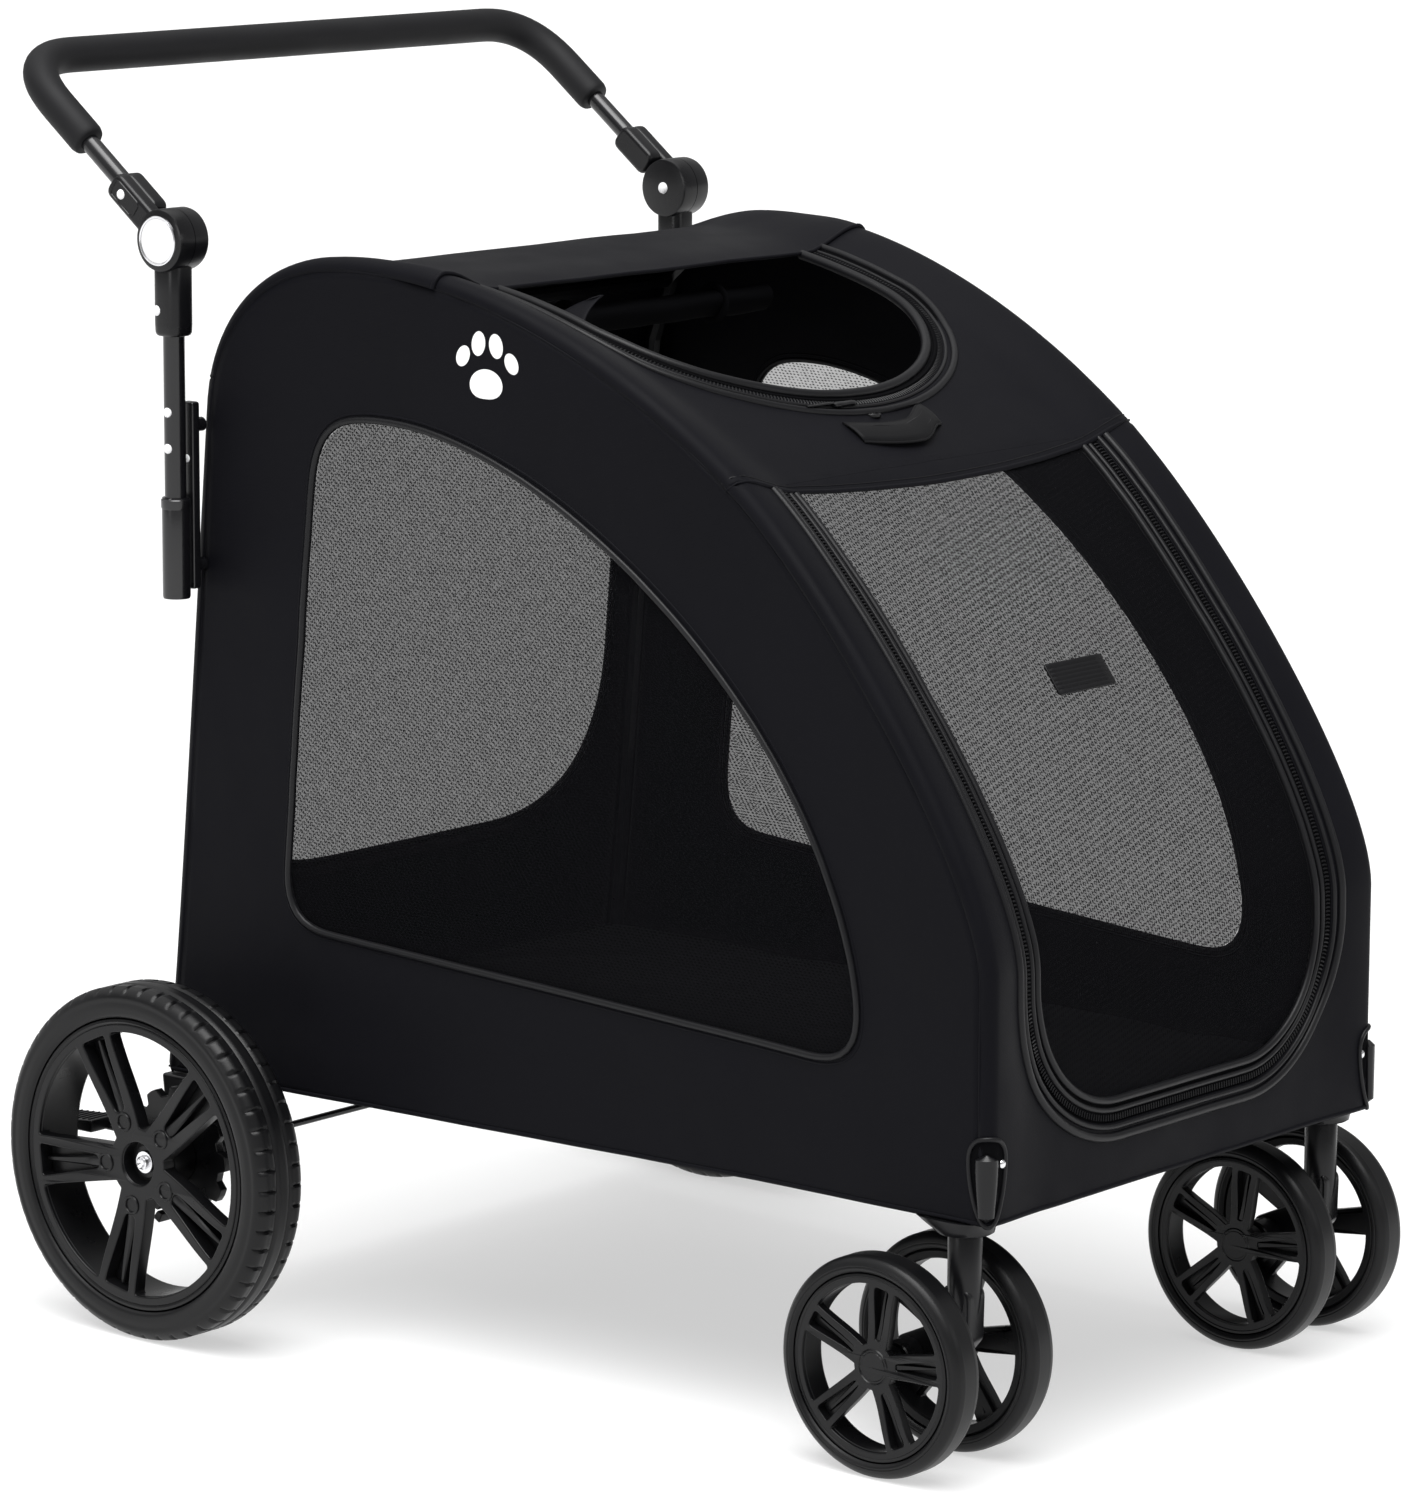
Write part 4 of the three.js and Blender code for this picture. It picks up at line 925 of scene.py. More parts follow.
def snap_tab():
    """The cloth tab with its snap on the top panel, a lifted loop of webbing."""
    start = TOP_END - 46
    half = 13
    verts = []
    rows = 26
    for k in range(rows):
        t = k / (rows - 1)
        q = TAB_START + TAB_LENGTH * t
        bow = 12 * math.sin(math.pi * t)
        rise = 1.6 + 3.5 * math.sin(math.pi * t)
        rise += 2.5 * smoothstep(t, 0.55, 0.8) * (1 - smoothstep(t, 0.85, 1))
        for share in (-1, -0.5, 0, 0.5, 1):
            s = start + bow + half * share - 8 * smoothstep(t, 0.6, 0.9)
            verts.append(wrap(s, q, rise + 1.6 * (1 - share ** 2)))
    made = piece("snap_tab", verts, grid_faces(rows, 5), "frame", "webbing",
                 uvs=[(k // 5 * 4.0, k % 5 * 6.0) for k in range(rows * 5)], sharp=60)
    thicken(made, 1.8)
    for label, share in (("front", 1), ("rear", -1)):
        edge = [verts[k * 5 + (4 if share > 0 else 0)] for k in range(rows)]
        tube(f"snap_tab_edge_{label}", edge, 1.1, "frame", "webbing", sides=8)
    for label, across_share in (("upper", -0.45), ("lower", 0.4)):
        crease_line = []
        for k in range(4, rows - 4):
            a, b = np.array(verts[k * 5]), np.array(verts[k * 5 + 4])
            wave = 0.12 * math.sin(k * 0.7)
            crease_line.append(tuple(a + (b - a) * (0.5 + (across_share + wave) / 2) + np.array([0, 0, 1.6])))
        tube(f"snap_tab_fold_{label}", crease_line, 0.9, "frame", "piping", sides=6)
    stud = wrap(start - 20, -14, 0)
    dome = [(0, 1.6), (2.5, 1.5), (3.2, 0.4), (4.5, 0.9), (6.5, 1.1), (7.6, 0.2), (7.6, -1.5)]
    joined("snap_stud", [lathe(dome, 20, stud, "z")], "frame", "plastic")


def door_patch():
    """The ribbed grip patch on the door."""
    low, high = PROFILE.s_at(z=609, low=TOP_END), PROFILE.s_at(z=586, low=TOP_END)
    rows = np.linspace(low, high, 43)
    verts, uvs = [], []
    for k, s in enumerate(rows):
        rib = 0.55 * (0.5 - 0.5 * math.cos(2 * math.pi * k / 6)) if 3 < k < 39 else 0.5
        for q in np.linspace(-37, 37, 9):
            verts.append(wrap(s, q, 1.4 + rib))
            uvs.append((s, q))
    made = piece("door_patch", verts, grid_faces(len(rows), 9), "door", "webbing", uvs=uvs, sharp=60)
    thicken(made, 1.6)
    corners = [(low, -37), (low, 37), (high, 37), (high, -37)]
    border = [wrap(s, q, 1.6) for s, q in subdivided(rounded(corners, 2, 3), 4)]
    tube("door_patch_binding", border, 1.1, "door", "piping", closed=True, sides=8)


# ---------------------------------------------------------------- wheels
def spoked_face(ring_outer, ring_inner, hub, hole, pairs, angle, slot, window_fillet):
    """Outlines of a rim's face in (a, b): ring, hub hole, windows between spoke pairs and slots in them."""
    outlines = [circle(0, 0, ring_outer, 120)]
    if hole:
        outlines.append(circle(0, 0, hole, 40)[::-1])
    root_half, tip_half = pairs
    for i in range(5):
        turn = angle + 2 * math.pi * i / 5
        inner_angle, outer_angle = math.asin(root_half / hub), math.asin(tip_half / ring_inner)
        start, end = outer_angle, 2 * math.pi / 5 - outer_angle
        window = [(ring_inner * math.cos(t), ring_inner * math.sin(t)) for t in np.linspace(start, end, 14)]
        near_start, near_end = inner_angle, 2 * math.pi / 5 - inner_angle
        window += [(hub * math.cos(t), hub * math.sin(t)) for t in np.linspace(near_end, near_start, 5)]
        radii = [window_fillet] + [0] * 12 + [window_fillet] * 2 + [0] * 3 + [window_fillet]
        outlines.append(turned_outline(subdivided(rounded(window, radii, 4), 5), turn))
        s_low, s_high, half_low, half_high = slot
        gap = [(s_low, -half_low), (s_high, -half_high), (s_high, half_high), (s_low, half_low)]
        root = half_low * 0.95
        outlines.append(turned_outline(subdivided(rounded(gap, [root, 3, 3, root], 4), 5), turn))
    return outlines


def turned_outline(outline, angle):
    c, s = math.cos(angle), math.sin(angle)
    return [(a * c - b * s, a * s + b * c) for a, b in outline]


def dished(verts, centre, flip, ring, hub, depth):
    """Moves the face inwards towards the hub, as a dished wheel has it."""
    result = []
    for x, y, z in verts:
        r = math.hypot(x - centre[0], z - centre[2])
        result.append((x, y - flip * depth * (1 - smoothstep(r, hub, ring)), z))
    return result


def wheel_rim(name, centre, flip, body, replaced, size):
    """A rim: bevelled spoked face, barrel, hub sleeve and tapered ribs in the slots."""
    verts, faces = plate(spoked_face(*size["face"]), size["thick"] / 2, size["bevel"])
    face_y = size["width"] / 2 - size["lip"] - size["thick"] / 2
    placed = [(centre[0] + a, centre[1] + flip * (face_y + c), centre[2] + b) for a, b, c in verts]
    placed = dished(placed, centre, flip, size["ring"] - 4, size["hub"], size["dish"])
    parts = [(placed, faces)]
    half, ring, outer = size["width"] / 2, size["ring"], size["outer"]
    barrel = [(ring - 1, -half + 6), (ring, -half + 4), (outer - 2, -half + 3), (outer, -half + 5),
              (outer, half - 5), (outer - 1.2, half - 2.6), (outer - 3.2, half - 2), (outer - 4.4, half - 3),
              (ring + 0.5, half - 4.5), (ring - 1.5, half - 6), (ring - 1, 0), (ring - 1, -half + 6)]
    parts.append(lathe(barrel, 96, centre, "y", flip))
    hub_face = face_y + size["thick"] / 2 - size["dish"]
    sleeve_end = hub_face - size["thick"] - 4
    h = size["hole"]
    if h:
        sleeve = [(h + 0.2, hub_face - 1), (h - 0.6, hub_face - 2), (h - 0.8, hub_face - 13),
                  (7, hub_face - 14), (7, hub_face - 20), (h + 6, hub_face - 20), (h + 7, hub_face - 12),
                  (h + 8, hub_face - 6)]
    else:
        h = size["cap"]
        sleeve = [(0, hub_face + 0.6), (h - 3.4, hub_face + 0.6), (h - 2.6, hub_face - 0.2),
                  (h - 1.6, hub_face - 0.2), (h - 0.8, hub_face + 0.9), (h, hub_face), (h, sleeve_end),
                  (0, sleeve_end)]
    parts.append(lathe(sleeve, 48, centre, "y", flip))
    back = -half + 2
    wide = size["hub_r"]
    tail = [(wide - 3, hub_face - 6), (wide, hub_face - 8), (wide, back), (wide - 3, back - 1),
            (6.4, back - 1), (6.4, back + 4)]
    parts.append(lathe(tail, 40, centre, "y", flip))
    for i in range(5):
        turn = size["face"][5] + 2 * math.pi * i / 5
        parts.append(rib(centre, flip, turn, hub_face, size))
    verts, faces = merge(*parts)
    return piece(name, verts, faces, body, "hub_plastic", replaced, sharp=32)


def rib(centre, flip, turn, hub_face, size):
    """The tapered rib on the floor of a spoke's slot, highest beside the hub."""
    low, high, wide, narrow = size["rib"]
    stations = np.linspace(0, 1, 7)
    verts = []
    for t in stations:
        r = low + (high - low) * t
        w = wide + (narrow - wide) * t
        lift = size["dish"] * smoothstep(r, size["hub"], size["ring"] - 4)
        top = hub_face - 1.2 - 5.5 * t + lift
        base = top - size["thick"] + 3
        for b, y in ((-w, base), (-w, top - 1.2), (-w * 0.6, top), (w * 0.6, top), (w, top - 1.2), (w, base)):
            verts.append((r, b, y))
    c, s = math.cos(turn), math.sin(turn)
    placed = [(centre[0] + a * c - b * s, centre[1] + flip * y, centre[2] + a * s + b * c)
              for a, b, y in verts]
    faces = capped_faces(len(stations), 6, flipped=True)
    floor_start = len(placed)
    deep = hub_face - size["thick"]
    floor = [(low, wide * 1.7, deep), (high + 4, wide * 3.1, deep + size["dish"])]
    for r, w, y in floor:
        for b, off in ((-w, -2.5), (-w, 0), (w, 0), (w, -2.5)):
            placed.append((centre[0] + r * c - b * s, centre[1] + flip * (y + off),
                           centre[2] + r * s + b * c))
    faces += [tuple(floor_start + i for i in f) for f in capped_faces(2, 4, flipped=True)]
    return placed, faces


def tyre(name, centre, flip, body, replaced, radius, width, seat, treads, round_over):
    """A tyre as rings round the axle; treads(angle, offset) gives how far its surface is cut in."""
    half = width / 2
    profile = [(seat, -half + 2.5), (seat + 1.2, -half + 1.2)]
    for t in np.linspace(0, 1, 6):
        wall = seat + 2 + (radius - round_over - seat - 2) * t
        profile.append((wall, -half + 1.0 * math.cos(math.pi * t) ** 2 * 0.6))
    for t in np.linspace(0.12, 1, 8):
        a = t * math.pi / 2
        profile.append((radius - round_over * (1 - math.sin(a)) - 0.8 * math.cos(a),
                        -half + round_over * (1 - math.cos(a))))
    middle = [(radius + 0.5 * math.cos(math.pi * y / width) - 0.5, y)
              for y in np.linspace(-half + round_over + 1.2, half - round_over - 1.2, 13)]
    profile = profile + middle + [(r, -y) for r, y in profile[::-1]]
    segments = treads["segments"]
    verts = []
    for k in range(segments):
        angle = 2 * math.pi * k / segments
        for r, off in profile:
            cut = treads["cut"](k, off) if r > radius - round_over * 0.9 else 0.0
            verts.append((centre[0] + (r - cut) * math.cos(angle), centre[1] + flip * off,
                          centre[2] + (r - cut) * math.sin(angle)))
    faces = grid_faces(segments, len(profile), closed_rows=True, closed_columns=True)
    return piece(name, verts, faces, body, "rubber", replaced, sharp=40)


def rear_cut(k, off):
    """Shoulder sipes on every eighth line across and two grooves round the tread."""
    groove = 1.6 if 5.2 < abs(off) < 8.8 else 0.0
    sipe = 2.0 if k % 8 == 0 and 11 < abs(off) < 25 else 0.0
    return max(groove, sipe)


def caster_cut(_, off):
    """Two fine grooves round the tread."""
    return 0.5 if 8.2 < abs(off) < 9.6 else 0.0


REAR_RIM = {"face": (119, 112, 31, 18.5, (15, 21.5), math.radians(42.6), (46, 110, 5.6, 13.8), 5),
            "thick": 13, "bevel": 1.2, "width": 54, "lip": 2.5, "dish": 5, "ring": 113, "outer": 124.2,
            "hub": 40, "hole": 18.5, "hub_r": 24, "rib": (43, 108, 5.2, 1.6)}
CASTER_RIM = {"face": (72, 67, 19, 0, (9.2, 12.5), math.radians(8.2), (22, 65.5, 2.6, 7.2), 4),
              "thick": 8, "bevel": 0.8, "width": 32, "lip": 2.5, "dish": 4.5, "ring": 68, "outer": 75.4,
              "hub": 24, "hole": 0, "cap": 14.5, "hub_r": 13, "rib": (20, 62, 2.9, 1.2)}


BOLT_CIRCLE = 37


def rear_wheels():
    boss_profile = [(8.3, -1.5), (8.3, 0.8), (7.6, 1.5), (6.2, 1.5), (5.5, 0.4), (5.5, -3)]
    bolt_profile = [(0, -1.2), (2.2, -1.2), (2.4, 0.1), (3.6, 0.1), (4.1, -0.5), (4.3, -3)]
    head_profile = [(0, 3.0), (2.0, 3.0), (2.4, 2.2), (4.4, 4.4), (5.6, 3.6), (6, 0)]
    washer_profile = [(5.5, 0.6), (9.2, 0.6), (9.6, 0), (9.6, -1.5), (5, -1.5)]
    floor_profile = [(0, 0), (13.4, 0), (13.6, -2), (13.6, -6), (0, -6)]
    rim_half = REAR_RIM["width"] / 2
    face = WHEEL_Y + rim_half - REAR_RIM["lip"] - REAR_RIM["dish"]
    gear = [(x, z + AXLE_Z) for x, z in gear_outline()]
    for name, side in SIDES:
        body = f"rear_wheel_{name}"
        centre = (0, side * WHEEL_Y, AXLE_Z)
        wheel_rim(f"rear_wheel_rim_{name}", centre, side, body, [f"rear_rim_{name}"], REAR_RIM)
        tyre(f"rear_wheel_tyre_{name}", centre, side, body, [f"rear_tyre_{name}"], 150, 54, 124.6,
             {"segments": 432, "cut": rear_cut}, 11)
        for i in range(5):
            turn = REAR_RIM["face"][5] + 2 * math.pi * i / 5
            place = (BOLT_CIRCLE * math.cos(turn), side * face, AXLE_Z + BOLT_CIRCLE * math.sin(turn))
            parts = [lathe(boss_profile, 28, place, "y", side), lathe(bolt_profile, 6, place, "y", side)]
            joined(f"rim_bolt_{name}_{i}", parts, body, "hub_plastic")
        gear_y = side * (WHEEL_Y - rim_half)
        joined(f"brake_gear_{name}", [plate_xz([gear], gear_y - side * 7, gear_y + side * 1, 0.8)], body,
               "plastic")
        end = (0, side * (WHEEL_Y + 11), AXLE_Z)
        parts = [lathe(head_profile, 24, end, "y", side), lathe(washer_profile, 36, end, "y", side)]
        joined(f"axle_bolt_{name}", parts, "frame", "chrome")
        behind = (0, side * (WHEEL_Y + 9), AXLE_Z)
        joined(f"hub_floor_{name}", [lathe(floor_profile, 40, behind, "y", side)], body, "plastic")


def gear_outline():
    """The brake gear's twelve blunt teeth."""
    outline = []
    teeth = 12
    pitch = 2 * math.pi / teeth
    for i in range(teeth):
        for share, r in ((-0.42, 49.5), (-0.25, 57), (0, 57.4), (0.25, 57), (0.42, 49.5)):
            a = (i + share * 0.84) * pitch
            outline.append((r * math.cos(a), r * math.sin(a)))
    return rounded(outline, 1.5, 3)


def casters():
    ax, az = CASTER_AXLE
    stem_profile = [(0, 192), (12.6, 192), (13.5, 190.5), (13.5, 140), (12.5, 128), (11, 116), (8, 108),
                    (0, 104)]
    boss_profile = [(6, -30), (14, -30), (15, -29), (15, 29), (14, 30), (6, 30)]
    web = rounded([(CASTER_X + 13, 150), (CASTER_X + 12, 108), (CASTER_X - 8, 84), (ax + 6, 71),
                   (ax - 15, 78), (ax - 14, 101), (CASTER_X - 22, 118), (CASTER_X - 13, 142),
                   (CASTER_X - 13, 150)], 9, 5)
    for name, side in SIDES:
        y = side * CASTER_Y
        for place, out in (("outer", side), ("inner", -side)):
            body = f"caster_wheel_{name}_{place}"
            centre = (ax, y + out * 47.5, az)
            wheel_rim(f"caster_hub_{name}_{place}", centre, out, body, [f"caster_rim_{name}_{place}"],
                      CASTER_RIM)
            tyre(f"caster_wheel_tyre_{name}_{place}", centre, out, body, [f"caster_tyre_{name}_{place}"],
                 88.5, 32, 75.6, {"segments": 160, "cut": caster_cut}, 8.5)
        body = f"caster_{name}"
        parts = [lathe(stem_profile, 40, (CASTER_X, y, 0), "z"), plate_xz([web], y - 11, y + 11, 3.0, 4),
                 lathe(boss_profile, 40, (ax, y, az), "y")]
        joined(f"caster_bracket_{name}", parts, body, "plastic", [f"caster_fork_{name}"])
        rivet(f"caster_fork_pin_{name}", (CASTER_X - 4, y - 11.2, 134), "y", 3.6, body, -1, "plastic")
        tube(f"caster_spindle_{name}", [(ax, y + d, az) for d in np.linspace(-53, 53, 8)], 5, body, "chrome",
             [f"caster_axle_{name}"])


# ---------------------------------------------------------------- handle
def arm_point(distance, y, rise=0.0):
    return (HANDLE_X - math.cos(ARM_TILT) * distance + math.sin(ARM_TILT) * rise, y,
            HINGE_Z + math.sin(ARM_TILT) * distance + math.cos(ARM_TILT) * rise)


def bar_path(start, steps=14):
    """The handle bar's centre line: up one arm, round two bends and down the other."""
    reach, bend = 226, 60
    corner = HANDLE_Y - bend
    points = [arm_point(d, -HANDLE_Y) for d in np.linspace(start, reach - bend, 10)]

    def curve(a, b, c):
        for t in np.linspace(0, 1, steps)[1:]:
            point = (1 - t) ** 2 * np.array(a) + 2 * t * (1 - t) * np.array(b) + t * t * np.array(c)
            yield arm_point(*point)

    points += curve((reach - bend, -HANDLE_Y), (reach, -HANDLE_Y), (reach, -corner))
    points += [arm_point(reach, y) for y in np.linspace(-corner, corner, 24)[1:]]
    points += curve((reach, corner), (reach, HANDLE_Y), (reach - bend, HANDLE_Y))
    points += [arm_point(d, HANDLE_Y) for d in np.linspace(reach - bend, start, 10)[1:]]
    return points


GRIP_RADIUS = 15.0


def handle_bar():
    tube("push_bar", bar_path(46), 8, "handle", "paint", ["handle_bar"], sides=24)
    path = np.array(bar_path(121))
    lengths = np.concatenate([[0], np.cumsum(np.linalg.norm(np.diff(path, axis=0), axis=1))])
    stations = np.concatenate([[0, 0.8, 2.2, 5], np.linspace(9, lengths[-1] - 9, 130),
                               lengths[-1] - np.array([5, 2.2, 0.8, 0])])
    points = [tuple(np.interp(d, lengths, path[:, i]) for i in range(3)) for d in stations]
    radii = []
    for d in stations:
        end = min(d, lengths[-1] - d) / 5
        radii.append(GRIP_RADIUS * min(1, 0.86 + 0.14 * math.sqrt(end)) if end < 1 else GRIP_RADIUS)
    tube("foam_sleeve", points, radii, "handle", "foam", ["foam_grip"], sides=32)


def turned_bar(start, end, half, corner):
    """A round-cornered bar along the arm in (x, z), between two distances from the hinge."""
    outline = rounded([(-start, -half), (-end, -half), (-end, half), (-start, half)], corner, 6)
    c, s = math.cos(-ARM_TILT), math.sin(-ARM_TILT)
    return [(HANDLE_X + a * c - b * s, HINGE_Z + a * s + b * c) for a, b in outline]


def hinges():
    arm_disc = [(0, 0.3), (26, 0.3), (26, 13.5), (25.2, 16), (23, 17), (0, 17)]
    socket_disc = [(0, -17), (23, -17), (25.2, -16), (26, -13.5), (26, -0.4), (0, -0.4)]
    ring_profile = [(18.6, 1.8), (19.6, 2.5), (20.4, 1.9), (20.5, -0.4)]
    cap_profile = [(0, 2.3), (9, 2.25), (15, 2.05), (18, 1.6), (18.9, 1.2), (18.9, -0.4)]
    for name, side in SIDES:
        y = side * HANDLE_Y
        centre = (HANDLE_X, y, HINGE_Z)
        parts = [lathe(arm_disc, 56, centre, "y", side),
                 plate_xz([turned_bar(4, 73, 11.5, 8)], y + side * 0.5, y + side * 14.5, 4.0, 5),
                 plate_xz([turned_bar(28, 73, 11.5, 8)], y - side * 13.5, y + side * 3, 4.0, 5)]
        joined(f"hinge_arm_{name}", parts, "handle", "plastic", [f"hinge_upper_{name}"])
        trim = [(px, y + side * 14.5, pz) for px, pz in turned_bar(36, 68, 7.2, 5)]
        joined(f"hinge_arm_trim_{name}", [sweep(trim, 0.9, 6, closed=True)], "handle", "plastic")
        rivet(f"arm_rivet_{name}", arm_point(57, y + side * 14.2), "y", 4.4, "handle", side)
        parts = [lathe(socket_disc, 56, centre, "y", side), neck_body(y)]
        joined(f"hinge_socket_{name}", parts, "handle_posts", "plastic", [f"hinge_lower_{name}"])
        rivet(f"socket_rivet_{name}", (HANDLE_X - 7, y + side * 12.6, 857), "y", 4.4, "handle_posts", side)
        pin_head = rivet(f"hinge_pin_head_{name}", (HANDLE_X, y - side * 17.2, HINGE_Z), "y", 5.2,
                         "handle_posts", -side)
        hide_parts(f"hinge_pin_{name}")
        cap_centre = (HANDLE_X, y + side * 16.6, HINGE_Z)
        body = f"tilt_button_{name}"
        joined(f"button_ring_{name}", [lathe(ring_profile, 64, cap_centre, "y", side)], body, "chrome")
        joined(f"button_cap_{name}", [lathe(cap_profile, 64, cap_centre, "y", side)], body, "white",
               [f"hinge_button_{name}"])


def neck_body(y):
    """The upright socket of a hinge: a rounded oblong in plan, with eased ends."""
    levels = [(836, 2.4), (837, 1.1), (839, 0.3), (845, 0), (870, 0), (893, 0), (897, 1.5)]
    count = 40
    verts = []
    for z, inset in levels:
        verts += [(HANDLE_X + a, y + b, z) for a, b in oblong(14 - inset, 13 - inset, 3.2, count)]
    return verts, capped_faces(len(levels), count)


def upright_box(half, low, high, corner, steps):
    """A rounded upright box in (x, z), centred on the handle tube."""
    return rounded([(HANDLE_X - half, low), (HANDLE_X + half, low), (HANDLE_X + half, high),
                    (HANDLE_X - half, high)], corner, steps)


def uprights():
    shell_profile = [(9.3, 702), (11.2, 702), (11.6, 700.5), (11.6, 620), (11.0, 618), (9.3, 618)]
    lip_profile = [(11.4, 701), (12.3, 700), (12.3, 694), (11.4, 692)]
    boss_profile = [(0, 0), (6, 0), (6, 9.5), (0, 9.5)]
    for name, side in SIDES:
        y = side * HANDLE_Y
        tube(f"telescoping_tube_{name}", [(HANDLE_X, y, z) for z in np.linspace(640, 868, 8)], 9,
             "handle_posts", "paint", [f"handle_tube_{name}"], sides=40)
        for k, z in enumerate((773, 743)):
            rivet(f"snap_button_{name}_{k}", (HANDLE_X, y + side * 8.7, z), "y", 4.2, "handle_posts", side)
        parts = [lathe(profile, 48, (HANDLE_X, y, 0), "z") for profile in (shell_profile, lip_profile)]
        parts.append(plate_xz([upright_box(7, 624, 780, 3, 4)], side * 297.6, side * 306.4, 1.6, 3))
        parts.append(plate_xz([upright_box(4, 626, 696, 1.5, 3)], side * 300, side * 312, 0.8, 2))
        for z in (643, 760):
            parts.append(lathe(boss_profile, 24, (HANDLE_X, side * 288.7, z), "y", side))
        joined(f"post_sleeve_{name}", parts, "frame", "paint", [f"handle_sleeve_{name}"])
        rivet(f"post_rivet_{name}", (HANDLE_X, side * 306.2, 733), "y", 3.4, "frame", side)


# ---------------------------------------------------------------- frame corners and legs
def front_corners():
    """The shaped foot under each front corner, as levels of (z, half sizes, shift, squareness)."""
    levels = [(204.5, 33, 23.4, -7, 3.0), (201, 29, 23.0, -5, 2.8), (197, 24.5, 22.4, -2, 2.5),
              (194, 23, 22, 0, 2.1), (193, 21.5, 21.5, 0, 2.0)]
    count = 48
    for name, side in SIDES:
        foot = []
        for z, long, wide, dx, power in levels:
            foot += [(CASTER_X + dx + a, side * CASTER_Y + b, z) for a, b in oblong(long, wide, power, count)]
        faces = capped_faces(len(levels), count, flipped=True)
        piece(f"corner_foot_{name}", foot, faces, "frame", "plastic", [f"front_corner_{name}"])
        corner_capsule(name, side)


def corner_point(side, a, z, lift):
    """A point on the front corner's fold: a runs round the corner from its middle, + to the front."""
    q = half_width(FRONT_X) - FOLD + FOLD * math.pi / 4 - a
    foot = PROFILE.s >= FRONT_END - 80
    s = float(np.interp(-z, -PROFILE.z[foot], PROFILE.s[foot]))
    if q > wrap_edge(s):
        x, y, _ = wrap(s, side * wrap_edge(s), lift)
        return x - (q - wrap_edge(s)), y, z
    x, y, _ = wrap(s, side * q, lift)
    return x, y, z


def teardrop(grow=0.0, count=48):
    """The cut-out round the corner bracket in (a, z): round at the top, narrowing to a blunt lower end."""
    points = []
    for k in range(count):
        t = 2 * math.pi * k / count
        c, s = math.cos(t), math.sin(t)
        wide = 15.5 + grow if s >= 0 else (15.5 - 6.5 * abs(s) ** 1.5 + grow)
        tall = 17 + grow if s >= 0 else 50 + grow
        points.append((wide * math.copysign(abs(c) ** 0.9, c), 256 + tall * math.copysign(abs(s) ** 0.9, s)))
    return points


def corner_capsule(name, side):
    """The pocket in the cloth at a front corner, shown as a dark sheet of painted shade, its piping, and the
    bracket and rivet that show in it.
    """
    outline = teardrop(0)
    verts = [corner_point(side, 0, 238, 0.9)] + [corner_point(side, a, z, 0.9) for a, z in outline]
    count = len(outline)
    verts += [corner_point(side, a * 0.5, 240 + (z - 240) * 0.5, 0.9) for a, z in outline]
    faces = [(0, 1 + count + k, 1 + count + (k + 1) % count) for k in range(count)]
    faces += [(1 + count + k, 1 + k, 1 + (k + 1) % count, 1 + count + (k + 1) % count) for k in range(count)]
    # a near-black sheet laid just over the cloth: the painted shade of the recess round the bracket
    piece(f"corner_recess_shade_{name}", verts, faces, "frame", "shade_and_tape", uvs=[(v[0], v[2]) for v in verts])
    tube(f"corner_piping_{name}", [corner_point(side, a, z, 1.3) for a, z in teardrop(1.2, 72)], 2.0, "frame",
         "piping", closed=True, sides=8)
    rings, count = 15, 28
    low, high = 209, 262
    body = []
    for j in range(rings):
        t = j / (rings - 1)
        z = low + (high - low) * t
        end = min(min(t, 1 - t) / 0.09, 1)
        width = (7.5 + 3.2 * smoothstep(t, 0, 0.8)) * math.sqrt(max(0.0, 1 - (1 - end) ** 2) + 0.02)
        for k in range(count):
            a = 2 * math.pi * k / count
            body.append((-2 + width * math.cos(a), 2.0 + 5.2 * math.sin(a) * min(1.0, width / 7.0), z))
    corner = (FRONT_X - FOLD, side * (FRONT_HALF - FOLD))
    verts = []
    for a, depth, z in body:
        angle = math.pi / 4 - a / (FOLD + 3) * 0.9
        r = FOLD + depth
        verts.append((corner[0] + r * math.cos(angle), corner[1] + side * r * math.sin(angle), z))
    faces = grid_faces(rings, count, closed_columns=True)
    faces += [tuple(range(count)), tuple((rings - 1) * count + k for k in range(count))]
    piece(f"corner_bracket_{name}", verts, faces, "frame", "plastic")
    rivet(f"corner_rivet_{name}", corner_point(side, 13.5, 253, 1.0), "x", 3.8, "frame", 1, "chrome")


def rear_legs():
    leg = rounded([(-60, 203), (44, 203), (24, 152), (14, 132), (-8, 124), (-44, 123), (-53, 134),
                   (-55, 160)],
                  [3, 3, 10, 10, 10, 10, 8, 6], 5)
    boss_profile = [(8, 262), (16, 262), (17, 264), (17, 300), (16, 312), (14.5, 326), (8, 326)]
    for name, side in SIDES:
        parts = [plate_xz([leg], side * 268, side * 296, 3.0, 4),
                 lathe(boss_profile, 40, (0, 0, AXLE_Z), "y", side)]
        for z in (172, 184):
            fin = rounded([(-48, z), (30, z), (30, z + 4), (-48, z + 4)], 1, 2)
            parts.append(plate_xz([fin], side * 292, side * 299, 0.8, 2))
        joined(f"axle_leg_{name}", parts, "frame", "plastic", [f"rear_leg_{name}"])
        axle = [(0, side * d, AXLE_Z) for d in np.linspace(260, WHEEL_Y - 12, 6)]
        tube(f"stub_axle_{name}", axle, 6, "frame", "chrome", [f"rear_stub_axle_{name}"], sides=24)


